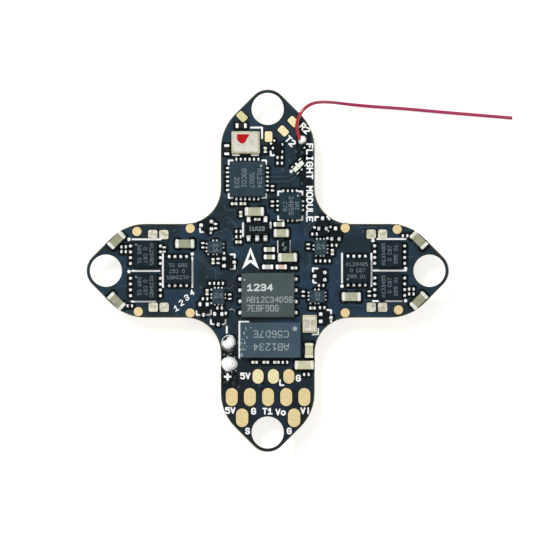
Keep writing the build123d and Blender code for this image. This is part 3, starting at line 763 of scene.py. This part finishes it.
# The rows of terminals under leadless chips: the sides, then (node, offsets, width, length, overhang).
TERMINALS = [
    ((RIGHT, LEFT, FORWARD, BACK), [("radio_chip", even(6, 0.5), 0.29, 0.44, 0.23),
                                    ("main_processor", even(12, 0.5), 0.26, 0.4, 0.2),
                                    ("receiver_processor", even(8, 0.5), 0.26, 0.4, 0.2)]),
    ((FORWARD, BACK), [("gyro_sensor", even(4, 0.505, -0.01), 0.3, 0.34, 0.17),
                       ("motor_transistor_3", even(4, 0.66), 0.38, 0.42, 0.22),
                       ("motor_transistor_4", even(4, 0.66), 0.38, 0.42, 0.22)]),
    ((RIGHT, LEFT), [("gyro_sensor", even(3, 0.5), 0.3, 0.34, 0.17),
                     ("memory_chip", even(4, 1.27, -0.08), 0.46, 0.46, 0.16),
                     *[(node, even(4, 0.66, -0.06), 0.38, 0.42, 0.28) for node in OUTER_TRANSISTORS]]),
]


def chip_terminals():
    """The soldered edges of the pads under every leadless chip."""
    builder = bmesh.new()
    for sides, chips in TERMINALS:
        for side in sides:
            for node, offsets, width, length, overhang in chips:
                add_terminals(builder, node, side, offsets, width, length, overhang)
    for number, sides in CONTROLLER_TERMINALS.items():
        for side, offsets in sides.items():
            add_terminals(builder, f"motor_controller_{number}", side, offsets, 0.24, 0.26, 0.07,
                          height=CONTROLLER_TERMINAL_HEIGHT)
    for x, y, _, width, _, _, _ in solids_of("underside_transistors"):
        for side in (-1, 1):
            for offset in even(4, 0.65):
                add_joint(builder, x + offset, y + side * (width / 2 + 0.15), 0.36, 0.42, 0,
                          -TERMINAL_HEIGHT)
    for x, y, length, width in LOOSE_TERMINALS:
        add_joint(builder, x, y, length, width, 0, LOOSE_TERMINAL_HEIGHT)
    add_piece("chip_terminals", builder, "tin", rounded=True)


HEAP_RINGS = 12
HEAP_AROUND = 36
FOOT_FLARE = 0.22
FOOT_RINGS = 2.5
HEAP_REACH = 0.86
HEAP_FULLNESS = 0.7


def solder_heap(name, node, heaps, swell):
    """Hand-made joints, (x, y, radius, height): full, uneven mounds with a peak where the iron left."""
    builder = bmesh.new()
    for x, y, radius, height in heaps:
        waves = [(random.uniform(0, math.tau), random.uniform(0.4, 1.0) * swell / count)
                 for count in (1, 2, 3, 4)]
        peak = Vector((random.uniform(-0.2, 0.2), random.uniform(-0.1, 0.25))) * radius
        levels = []
        for ring in range(HEAP_RINGS):
            tilt = math.pi / 2 * ring / HEAP_RINGS
            level = []
            for step in range(HEAP_AROUND):
                angle = math.tau * step / HEAP_AROUND
                swing = sum(size * math.cos(count * angle + phase)
                            for count, (phase, size) in enumerate(waves, 1))
                foot = 1 + FOOT_FLARE * max(0.0, 1 - ring / FOOT_RINGS)
                reach = radius * math.cos(tilt) * (1 + swing) * foot * HEAP_REACH
                outward = Vector((math.cos(angle), math.sin(angle)))
                spot = Vector((x, y)) + peak * math.sin(tilt) + outward * reach
                z = TOP + height * math.sin(tilt) ** HEAP_FULLNESS
                level.append(builder.verts.new(Vector((spot.x, spot.y, z)) * MM))
            levels.append(level)
        close_mound(builder, levels, (x + peak.x, y + peak.y, TOP + height))
    piece = add_piece(name, builder, "solder", rounded=True)
    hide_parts(node)


BATTERY_HEAPS = [(-4.31, -8.25, 0.74), (-4.33, -10.64, 0.86)]
RIM_CENTRE = (-4.37, -8.17)
RIM = 0.84
RIM_W = 0.07
SCAR_STEPS = 12
SCAR_RISE = 0.05
SCARS = [("joint_rim", "tin", 60, 200, RIM, RIM_W), ("burnt_flux", "burnt_flux", 190, 300, RIM + 0.08, 0.15)]
# Near-black mounds painted as the shade in the battery joints' hollows: (x, y, length, width, turn, share of
# the joint's height).
JOINT_HOLLOW_SHADES = [
    (-4.80, -7.74, 0.52, 0.22, 40, 0.80), (-3.72, -8.55, 0.32, 0.24, 60, 0.74),
    (-4.02, -8.86, 0.42, 0.16, 30, 0.66), (-3.98, -10.50, 0.34, 0.13, -14, 1.02),
    (-3.62, -8.16, 0.2, 0.14, 10, 0.6),
]


def joint_scars_and_hollow_shade():
    """The battery joints' thin rim and the burnt flux below it, left by hand soldering, and near-black mounds
    painted as the shade in the joints' hollows.
    """
    x, y = RIM_CENTRE
    for name, material, start, end, reach, width in SCARS:
        builder = bmesh.new()
        angles = [math.radians(start + (end - start) * step / SCAR_STEPS) for step in range(SCAR_STEPS + 1)]
        line = [(x + reach * math.cos(angle), y + reach * math.sin(angle)) for angle in angles]
        add_stroke(builder, line, width, TOP, TOP + SCAR_RISE)
        add_piece(name, builder, material)
    hollows = bmesh.new()
    for x, y, length, width, turn, share in JOINT_HOLLOW_SHADES:
        add_blob(hollows, x, y, length, width, turn, TOP, battery_top * share, DROP_POWER, 0.25)
    add_piece("joint_hollow_shades", hollows, "dark_flux_and_shade", rounded=True)


FILTER_BODY = (1.5, 0.52)
FILTER_TERMINALS = [(0.66, 0.46, 0.46, 0.16), (0.0, 0.38, 0.30, 0.30), (-0.54, 0.45, 0.36, 0.17),
                    (0.58, -0.48, 0.32, 0.17), (0.0, -0.50, 0.28, 0.24), (-0.60, -0.50, 0.50, 0.17)]


def detailed_filter():
    """The antenna filter's narrow body with the six terminals along its sides and its orientation mark."""
    low, high = corners("antenna_filter")
    middle = centre_of("antenna_filter").xy
    rotation = Matrix.Rotation(math.radians(45), 2)
    builder = bmesh.new()
    for u, v, length, width in FILTER_TERMINALS:
        place = middle + rotation @ Vector((u, v))
        add_joint(builder, *place, length, width, 45, 0.12)
    add_piece("filter_terminals", builder, "tin", rounded=True)
    half_x, half_y = FILTER_BODY[0] / 2, FILTER_BODY[1] / 2
    body = bmesh.new()
    ends = ((-half_x, -half_y), (half_x * 0.9, -half_y), (half_x, half_y * 0.7), (half_x * 0.7, half_y),
            (-half_x, half_y))
    add_plate(body, [middle + rotation @ Vector(end) for end in ends], low.z, high.z)
    piece = add_piece("filter_body", body, "filter_ceramic")
    ease_edges(piece, 0.05)
    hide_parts("antenna_filter")
    mark = bmesh.new()
    for u, v, radius in ((-0.16, -0.05, 0.10), (-0.5, 0.02, 0.05), (0.3, 0.05, 0.05)):
        spot = middle + rotation @ Vector((u, v))
        add_plate(mark, ring_points(spot.x, spot.y, radius), high.z, high.z + 0.004)
    add_piece("filter_mark", mark, "brown_ink")


solder_fillets()
chip_terminals()
battery_top = corners("battery_solder_joints")[1].z - TOP
solder_heap("battery_joints", "battery_solder_joints",
            [(x, y, radius, battery_top) for x, y, radius in BATTERY_HEAPS], 0.15)
x, y, length, width, _, _, high = solids_of("antenna_solder_joint")[0]
solder_heap("antenna_joint", "antenna_solder_joint", [(x, y, (length + width) / 4 * 0.95, high - TOP)], 0.16)
joint_scars_and_hollow_shade()
detailed_filter()


PAD_GAP = 0.16
# Patches of darker mask without copper; round the battery and antenna joints and along the overlay chip's
# left edge they are painted shade.
BARE_MASK_AND_SHADE_PATCHES = [
    (-4.3, -9.5, 1.7, 4.6), (-4.3, -12.5, 1.9, 1.6), (-3.15, -8.3, 0.3, 3.4), (4.15, 14.9, 1.9, 4.6),
    (4.35, 10.6, 1.5, 5.0),
]


def open_pads():
    """The edge of the mask opening round every bare pad."""
    for x, y, length, width, _, _, _ in solids_of("wire_pads"):
        reach = (max(length, width) - min(length, width)) / 2
        line = [(x, y - reach), (x, y + reach)]
        add_stroke(openings_and_shade, line, min(length, width) + PAD_GAP, TOP, TOP + OPENING)
    for x, y, length, _, _, _, _ in solids_of("round_test_pads"):
        add_plate(openings_and_shade, ring_points(x, y, (length + PAD_GAP) / 2, 32), TOP, TOP + OPENING)
    for node in ("programming_pads", "signal_pads"):
        for x, y, length, width, turn, _, _ in solids_of(node):
            add_opening_and_shade(x, y, length, width, turn)


open_pads()
for x, y, length, width in BARE_MASK_AND_SHADE_PATCHES:
    add_plate(clearings_and_shade, soft_rectangle(x, y, length, width, 0, 0.0, 0.8), TOP, TOP + SHADE_CLEARING / 2)
add_piece("mask_openings_and_shade", openings_and_shade, "bare_board_and_shade")
add_piece("copper_clearings_and_shade", clearings_and_shade, "bare_mask_and_shade")


# ---- printed ink

INK = 0.02
SILK_W = 0.2
CHIP_CORNERS = {"radio_chip": 0.45, "gyro_sensor": 0.42}
CORNER_GAP = 0.12
SILK_LINES = [
    [(-1.9, 16.25), (-0.64, 16.25), (-0.64, 15.05)],
    [(0.33, 13.52), (0.36, 13.1), (0.7, 13.1)],
    [(-7.7, 4.8), (-7.65, 4.4), (-7.25, 4.4)],
    [(-4.22, 1.85), (-3.75, 1.85), (-3.75, 1.5)],
    [(-3.75, 0.62), (-3.75, 0.24), (-4.2, 0.2)],
    [(-8.06, -4.62), (-8.06, -5.0), (-7.75, -5.03)],
    [(-6.45, -4.52), (-6.47, -4.95), (-6.85, -5.0)],
    [(-6.45, -5.6), (-6.45, -6.02), (-6.1, -6.08)],
    [(-4.8, -5.6), (-4.84, -6.02), (-5.12, -6.08)],
    [(5.14, -0.08), (5.14, 0.27), (5.66, 0.25)],
    [(5.16, -1.08), (5.2, -1.35), (5.5, -1.37)],
    [(6.76, -4.45), (7.2, -4.5), (7.2, -4.85)],
    [(5.4, 5.72), (5.4, 6.1), (5.75, 6.1)],
    [(6.76, 6.15), (7.0, 5.82)],
    [(5.72, -6.6), (5.72, -7.2), (5.12, -7.24)],
    [(-2.2, -5.8), (-3.21, -5.8), (-3.21, -9.85)],
    [(-15.35, 3.56), (-12.15, 3.56)],
    [(-15.4, -0.02), (-12.3, -0.02)],
    [(-15.45, -3.5), (-12.75, -3.5)],
    [(12.45, 3.6), (15.65, 3.6)],
    [(12.0, 0.02), (15.7, 0.02)],
    [(11.95, -3.45), (12.55, -3.45)],
    [(13.45, -3.45), (15.2, -3.45)],
    [(-11.9, 1.9), (-11.9, -1.85)],
    [(-8.56, 1.5), (-8.56, -1.85)],
    [(11.78, 1.95), (11.78, -1.75)],
    [(8.44, 1.95), (8.44, -1.35)],
    [(-2.8, 5.4), (-2.8, 3.95)],
    [(0.32, 5.45), (0.32, 4.85)],
    [(-4.64, -6.35), (-4.64, -7.05)],
]
FINE_LINES = [
    [(1.16, 2.1), (1.16, 3.4)],
    [(2.53, 2.1), (2.53, 3.4)],
]
FINE_W = 0.13
SILK_DOTS = [
    (-15.75, 3.56), (-15.75, -0.1), (-8.56, 1.9), (15.65, 0.25), (15.65, -3.4), (11.95, 3.42),
    (8.44, -1.75), (2.67, 11.27),
]
SILK_DOT_R = 0.19
PAD_LABELS = [
    ("5V", -2.54, -11.95, 0.6, 0), ("L", 1.6, -12.7, 0.6, 0), ("G", 3.48, -12.2, 0.6, 0),
    ("5V", -4.25, -15.87, 0.6, 0), ("G", -1.6, -15.95, 0.6, 0), ("T1", -0.02, -15.95, 0.6, 0),
    ("Vo", 1.47, -16.05, 0.6, 0), ("Vi", 4.3, -15.9, 0.6, 0), ("S", -2.28, -18.2, 0.58, 0),
    ("G", 2.45, -18.2, 0.58, 0), ("T2", 2.58, 14.7, 0.64, -45), ("R2", 4.22, 16.15, 0.64, -45),
]
PLUS_SIGN = [[(-4.86, -12.04), (-4.24, -12.04)], [(-4.55, -12.35), (-4.55, -11.74)]]
PLUS_W = 0.24
LABEL_W = 0.165
TITLE = ("FLIGHT MODULE", 4.77, 10.0, 0.64, -90)
TITLE_SQUEEZE = 1.08
SERIAL = [
    ("1", -10.38, -4.25, 0.56, 25), ("2", -9.8, -3.65, 0.56, 25), ("3", -9.2, -3.05, 0.56, 25),
    ("4", -8.6, -2.5, 0.56, 25),
]
SERIAL_W = 0.12
ARROW_HALVES = [
    [(-1.95, 2.66), (-2.92, 0.16), (-1.95, 0.94), (-1.95, 1.22), (-2.24, 1.16), (-1.95, 1.98)],
    [(-1.95, 2.66), (-1.95, 1.98), (-1.66, 1.16), (-1.95, 1.22), (-1.95, 0.94), (-0.98, 0.16)],
]


def corner_marks(node, arm, gap):
    """The four printed corner angles round a chip, this far from it."""
    low, high = corners(node)
    lines = []
    for sign_x, x in ((-1, low.x - gap), (1, high.x + gap)):
        for sign_y, y in ((-1, low.y - gap), (1, high.y + gap)):
            lines.append([(x - sign_x * arm, y), (x, y), (x, y - sign_y * arm)])
    return lines


def print_silk():
    """All the white ink on the component side."""
    builder = bmesh.new()
    low, high = TOP, TOP + INK
    lines = list(SILK_LINES)
    for node, arm in CHIP_CORNERS.items():
        lines += corner_marks(node, arm, CORNER_GAP)
    for width, group in ((SILK_W, lines), (PLUS_W, PLUS_SIGN), (FINE_W, FINE_LINES)):
        for line in group:
            add_stroke(builder, line, width, low, high)
    for x, y in SILK_DOTS:
        add_plate(builder, ring_points(x, y, SILK_DOT_R), low, high + STAGGER / 2)
    for half in ARROW_HALVES:
        add_plate(builder, half, low, high)
    for stroke, squeeze, labels in ((LABEL_W, 1.0, PAD_LABELS), (LABEL_W, TITLE_SQUEEZE, [TITLE]),
                                    (SERIAL_W, 1.0, SERIAL)):
        for words, x, y, height, turn in labels:
            add_words(builder, words, x, y, height, turn, low, INK, stroke, squeeze)
    add_piece("silkscreen", builder, "silk_ink")


UNDER_LABELS = [
    ("M1", -9.3, 4.6, 0.9), ("M2", -9.3, -4.6, 0.9), ("M3", 9.3, 4.6, 0.9), ("M4", 9.3, -4.6, 0.9),
    ("USB", 1.6, -15.1, 0.9), ("BOOT", -2.8, -16.7, 0.8), ("FRONT", 0.0, 15.1, 0.7),
]
UNDER_LABEL_W = 0.17
UNDER_W = 0.15
UNDER_ARM = 0.14
UNDER_OUTLINES = {"main_processor": 0.55, "receiver_processor": 0.45, "boost_inductor": 0.2, "barometer": 0.3}


def print_underside():
    """The same white ink, with generic labels, on the face with the sockets."""
    builder = bmesh.new()
    for words, x, y, height in UNDER_LABELS:
        add_words(builder, words, x, y, height, 0, UNDER, INK, UNDER_LABEL_W, face=-1)
    for node, gap in UNDER_OUTLINES.items():
        low, high = corners(node)
        arm = (min(high.x - low.x, high.y - low.y) + 2 * gap) * UNDER_ARM
        for line in corner_marks(node, arm, gap):
            add_stroke(builder, line, UNDER_W, UNDER, UNDER - INK)
        add_plate(builder, ring_points(low.x - gap, high.y + gap + 0.35, UNDER_W), UNDER, UNDER - INK)
    add_piece("underside_silkscreen", builder, "silk_ink")


print_silk()
print_underside()


# ---- traces and vias

TRACE_W = 0.11
TRACE_RISE = 0.012
TRACES = [
    [(-6.75, 3.5), (-5.72, 4.42), (-5.0, 4.46)],
    [(-4.95, 4.66), (-4.6, 4.66), (-3.95, 3.95), (-3.9, 3.6)],
    [(-5.55, 3.86), (-4.95, 3.92), (-4.75, 3.92)],
    [(-4.65, 3.05), (-4.3, 3.05)],
    [(-4.65, 2.6), (-3.9, 2.6), (-3.25, 2.05)],
    [(-8.3, 2.3), (-6.05, 0.05), (-5.2, -0.35)],
    [(-8.3, 1.9), (-6.35, -0.1)],
    [(-4.7, 6.05), (-4.3, 5.98), (-3.3, 4.95)],
    [(-4.6, 5.5), (-4.1, 5.5), (-3.5, 4.9)],
    [(-5.0, 7.4), (-4.6, 6.9), (-3.7, 6.85)],
    [(0.2, 10.66), (1.95, 10.66), (3.1, 11.0)],
    [(0.2, 10.1), (2.45, 10.15), (3.3, 10.8)],
    [(0.2, 11.2), (1.2, 11.2), (1.7, 11.45)],
    [(-3.95, -0.75), (-3.75, -0.55), (-3.25, 0.05)],
    [(-4.95, -1.95), (-4.25, -2.0), (-3.85, -1.6)],
    [(-5.9, 0.1), (-5.9, -1.0)],
    [(4.25, 4.05), (4.95, 4.85), (5.3, 5.35)],
    [(4.2, 4.0), (4.2, 4.6), (4.9, 5.5)],
    [(4.4, 0.1), (4.85, 0.75)],
    [(15.95, 1.6), (16.9, 1.66)],
    [(-16.9, -1.75), (-16.0, -1.75)],
    [(3.9, 0.3), (4.3, 0.3), (4.75, 0.85), (4.75, 1.6)],
    [(-6.6, -5.35), (-5.9, -5.2)],
    [(10.2, 4.9), (12.3, 4.95)],
    [(9.4, -3.9), (11.0, -3.95)],
]
VIA_R = 0.16
VIAS = [
    (-3.9, 3.6), (-6.9, -0.7), (-7.6, -1.9), (3.9, 13.4), (4.75, 1.7), (7.9, 0.9), (7.9, -1.3), (-3.6, 5.0),
    (-10.6, 4.6), (10.8, 4.5), (-10.4, -5.0), (10.4, -5.0), (-4.9, 8.5), (3.9, 9.9), (-0.9, -13.0),
    (-5.0, 11.2), (3.2, 13.5), (2.5, 12.5), (1.7, 11.45), (1.6, -13.1), (-3.3, -13.2),
]


def lay_traces():
    """Copper tracks and plugged holes that show through the solder mask."""
    builder = bmesh.new()
    for line in TRACES:
        add_stroke(builder, line, TRACE_W, TOP, TOP + TRACE_RISE)
    for x, y in VIAS:
        add_plate(builder, ring_points(x, y, VIA_R, 16), TOP, TOP + TRACE_RISE * 1.1)
    add_piece("copper_tracks", builder, "trace_mask")


lay_traces()


# ---- chip markings

MARK = 0.006
TRANSISTOR_ROWS = [("A1234B5", 0.0, 0.72, 0.38), ("0 C67", 0.1, 0.02, 0.38), ("D89 01", 0.0, -0.66, 0.38)]
CONTROLLER_ROWS = [("33", 0.05, 0.22, 0.36), ("1A", 0.05, -0.3, 0.3)]
# Each piece of lettering: its name, finish and slot, then its chips as (node, turn, stroke, squeeze, rows),
# where a row is (words, along, across, height), measured from the chip's middle. All of it is generic.
MARKINGS = [
    ("bright_markings", "bright_laser", "memory_moulding", [
        ("memory_chip", 0, 0.17, 1.15, [("1234", -0.9, 0.88, 0.66)]),
    ]),
    ("laser_markings", "laser_mark", "chip_moulding", [
        ("memory_chip", 0, 0.10, 0.89, [("AB12C34D56", 0.2, -0.5, 0.6)]),
        ("memory_chip", 0, 0.10, 0.80, [("7E8F90G", -0.6, -1.48, 0.66)]),
        ("video_overlay_chip", 180, 0.1, 0.96, [("AB1234", -0.04, 0.78, 0.72),
                                                ("C56D7E", -0.04, -0.68, 0.72)]),
        ("main_processor", 0, 0.1, 0.9, [("A12B345", 0, 1.5, 0.8), ("6C789", 0, 0, 0.8),
                                         ("D01", 0, -1.5, 0.8)]),
        ("receiver_processor", 0, 0.1, 0.9, [("B12C3", 0, 0.8, 0.7), ("4D56", 0, -0.7, 0.7)]),
    ]),
    ("faint_markings", "faint_laser", "chip_moulding", [
        ("radio_chip", -90, 0.06, 0.9, [("A1234", -0.1, 1.4, 0.5), ("5B67", 0.15, 0.52, 0.5),
                                        ("89C01", -0.1, -0.38, 0.5), ("2D3", 0.4, -1.2, 0.5)]),
        ("gyro_sensor", -90, 0.055, 0.9, [("1A2", 0.0, 0.78, 0.36), ("34B56", 0.0, 0.1, 0.5),
                                          ("C78", 0.1, -0.6, 0.42)]),
        ("regulator_body", 0, 0.09, 0.9, [("1A23", 0.12, 0, 0.42), ("|", -0.8, 0.025, 0.55)]),
        *[(f"motor_controller_{number}", turn, 0.05, 0.9, CONTROLLER_ROWS)
          for number, turn in ((1, 0), (2, 90), (3, 90), (4, 0))],
        ("load_switch", -30, 0.10, 0.9, [("1", -0.2, 0.2, 0.36), ("2", 0.2, -0.15, 0.36)]),
    ]),
    ("dim_markings", "dim_laser", "chip_moulding", [
        (f"motor_transistor_{number}", turn, 0.055, 0.95, TRANSISTOR_ROWS)
        for number, turn in ((1, -90), (2, -90), (3, 180), (4, 0), (5, 90), (6, 90))
    ]),
    ("crystal_ink", "brown_ink", "lid_metal", [
        ("video_crystal_lid", 90, 0.07, 0.9, [("123", 0.0, 0.28, 0.36), ("4A", 0.1, -0.28, 0.36)]),
    ]),
]
# The moulded dot beside a chip's first terminal: (node, along, across, radius).
PIN_ONE_DOTS = [
    ("video_overlay_chip", 2.74, 1.3, 0.26), ("radio_chip", 1.55, 1.5, 0.14),
    ("memory_chip", -2.66, 1.74, 0.11), ("gyro_sensor", 0.88, 1.12, 0.12),
    ("motor_transistor_1", -1.05, 1.1, 0.1), ("motor_transistor_2", -1.05, 1.1, 0.1),
    ("motor_transistor_4", -1.05, -1.0, 0.1),
]


def add_marks(builder, node, turn, stroke, squeeze, rows):
    """Generic lettering on a chip, on the face that looks away from the board."""
    middle = centre_of(node)
    low, high = corners(node)
    z, face = (high.z, 1) if middle.z > 0 else (low.z, -1)
    rotation = Matrix.Rotation(math.radians(turn), 2)
    for words, along, across, height in rows:
        offset = rotation @ Vector((along * face, across))
        add_words(builder, words, middle.x + offset.x, middle.y + offset.y, height, turn, z, MARK, stroke,
                  squeeze=squeeze, face=face)


def mark_chips():
    """The lettering and the first-terminal dots on the chips."""
    for name, material, slot, chips in MARKINGS:
        builder = bmesh.new()
        for chip in chips:
            add_marks(builder, *chip)
        add_piece(name, builder, material)
    dots = bmesh.new()
    for node, along, across, radius in PIN_ONE_DOTS:
        x, y, z = (*centre_of(node).xy, corners(node)[1].z)
        add_plate(dots, ring_points(x + along, y + across, radius), z, z + MARK)
    add_piece("pin_one_dots", dots, "laser_mark")


def paint_oscillator():
    """The red dab on the radio oscillator's lid."""
    x, y, z = (*centre_of("radio_oscillator_lid").xy, corners("radio_oscillator_lid")[1].z)
    outline = [(-0.98, 0.92), (-0.98, 0.38), (-0.86, 0.14), (-0.66, -0.04), (-0.42, -0.14), (-0.2, -0.1),
               (0.0, 0.1), (0.1, 0.34), (0.26, 0.6), (0.42, 0.92)]
    builder = bmesh.new()
    add_plate(builder, [(x + dx, y + dy) for dx, dy in outline], z, z + 0.012)
    add_piece("oscillator_paint", builder, "red_paint")


# Dried flux round the battery joints, drawn near black as painted shade: (x, y, length, width).
FLUX_AND_SHADE_SPOTS = [
    (-3.15, -8.3, 0.5, 1.3), (-4.35, -9.4, 0.8, 0.5), (-3.7, -10.0, 0.5, 0.35), (-4.7, -12.75, 0.9, 0.5),
    (-3.6, -8.6, 0.45, 0.6), (-4.0, -11.7, 0.9, 0.3), (-3.9, -12.95, 1.0, 0.55), (-3.7, -12.2, 0.5, 0.7),
    (-5.0, -11.9, 0.35, 0.8), (-3.45, -11.0, 0.5, 0.8),
]
GLINTS = 26
FLECKS = [
    (-4.3, -4.42), (-4.1, -4.36), (-3.92, -4.42), (-3.78, -4.56), (-3.3, -7.5), (-3.36, -8.2), (-3.1, -9.0),
    (-4.95, -9.55), (-4.5, -9.7), (-4.2, -9.45), (-3.75, -9.8), (-4.1, -11.5), (-3.6, -11.35),
    (-4.8, -11.55),
]
FLUX_AND_SHADE_HEIGHT = 0.016
FLECK_HEIGHT = 0.07
GLINT_HEIGHT = 0.02


def leave_flux_and_painted_light():
    """Dried flux and a few bright flecks round the hand-soldered battery joints; the flux is drawn near black
    as painted shade, and pale blobs on and beside the overlay chip's left end are painted glints of light on
    flux.
    """
    builder = bmesh.new()
    for x, y, length, width in FLUX_AND_SHADE_SPOTS:
        add_blob(builder, x, y, length, width, random.uniform(0, 90), TOP, FLUX_AND_SHADE_HEIGHT, DROP_POWER, 0.25)
    add_piece("dark_flux_and_shade", builder, "dark_flux_and_shade", rounded=True)
    flecks = bmesh.new()
    for x, y in FLECKS:
        size = (random.uniform(0.1, 0.24), random.uniform(0.07, 0.12))
        add_blob(flecks, x, y, *size, random.uniform(-50, 50), TOP, FLECK_HEIGHT, DROP_POWER, 0.2)
    add_piece("solder_flecks", flecks, "tin", rounded=True)
    # Pale blobs painted as glints of light on flux, over and beside the overlay chip's left end.
    glints = bmesh.new()
    low, high = corners("video_overlay_chip")
    for _ in range(GLINTS):
        x = low.x + 0.08 + abs(random.gauss(0, 0.34))
        y = random.uniform(low.y + 0.15, high.y - 0.5)
        size = (random.uniform(0.08, 0.34), random.uniform(0.05, 0.12))
        add_blob(glints, x, y, *size, random.uniform(-80, -20), high.z, GLINT_HEIGHT, DROP_POWER, 0.3)
    for y in (-8.6, -9.3, -9.9):
        add_blob(glints, low.x - 0.08, y, 0.12, 0.4, random.uniform(-10, 10), TOP, 0.1, DROP_POWER, 0.3)
    add_piece("flux_glints", glints, "flux_glint", rounded=True)


PROBE_W = 0.09


def scuff_pads():
    """The dents that test probes leave in the square pads."""
    builder = bmesh.new()
    for x, y, _, _, _, _, high in solids_of("programming_pads"):
        for _ in range(2):
            sx, sy = x + random.uniform(-0.2, 0.15), y + random.uniform(-0.22, 0.12)
            bend = (sx + random.uniform(0.08, 0.2), sy + random.uniform(-0.05, 0.12))
            end = (bend[0] + random.uniform(-0.05, 0.1), bend[1] + random.uniform(0.05, 0.15))
            add_stroke(builder, [(sx, sy), bend, end], PROBE_W, high, high + MARK)
    add_piece("probe_marks", builder, "brown_ink")


mark_chips()
paint_oscillator()
leave_flux_and_painted_light()
scuff_pads()


# ---- the stage

TABLE_R = 1.5
TABLE_GAP = 0.01
TABLE_FINISH = {"Base Color": (0.52, 0.50, 0.46, 1), "Roughness": 0.9, "Specular IOR Level": 0.0,
                "Emission Color": (1, 0.985, 0.955, 1), "Emission Strength": 0.72}
SKY_STRENGTH = 0.45
# Each light's name, place in metres, size in metres and power.
LIGHTS = [
    ("key", (-0.16, 0.23, 0.50), 0.14, 1.95),
    ("overhead", (0.0, 0.05, 0.62), 0.50, 0.5),
]


def make_stage():
    """A plain white table, a pale sky, a soft key light from ahead and a softbox overhead."""
    builder = bmesh.new()
    bmesh.ops.create_circle(builder, cap_ends=True, radius=TABLE_R, segments=64)
    mesh = bpy.data.meshes.new("table")
    builder.to_mesh(mesh)
    builder.free()
    table = put("table", mesh)
    table.location.z = (FLOOR_Z - TABLE_GAP) * MM
    tree, shader = new_material("white_table")
    feed(tree, shader, TABLE_FINISH)
    mesh.materials.append(materials["white_table"])

    world = bpy.data.worlds.new("sky")
    world.use_nodes = True
    background = world.node_tree.nodes["Background"]
    feed(world.node_tree, background, {"Color": (1, 1, 1, 1), "Strength": SKY_STRENGTH})
    bpy.context.scene.world = world

    for name, place, size, power in LIGHTS:
        light = bpy.data.lights.new(name, "AREA")
        light.size = size
        light.energy = power
        lamp = put(name, light)
        lamp.location = place
        lamp.rotation_euler = (-Vector(place)).to_track_quat("-Z", "Y").to_euler()
    bpy.context.scene.view_settings.view_transform = "Standard"
    bpy.context.scene.view_settings.look = "None"


make_stage()
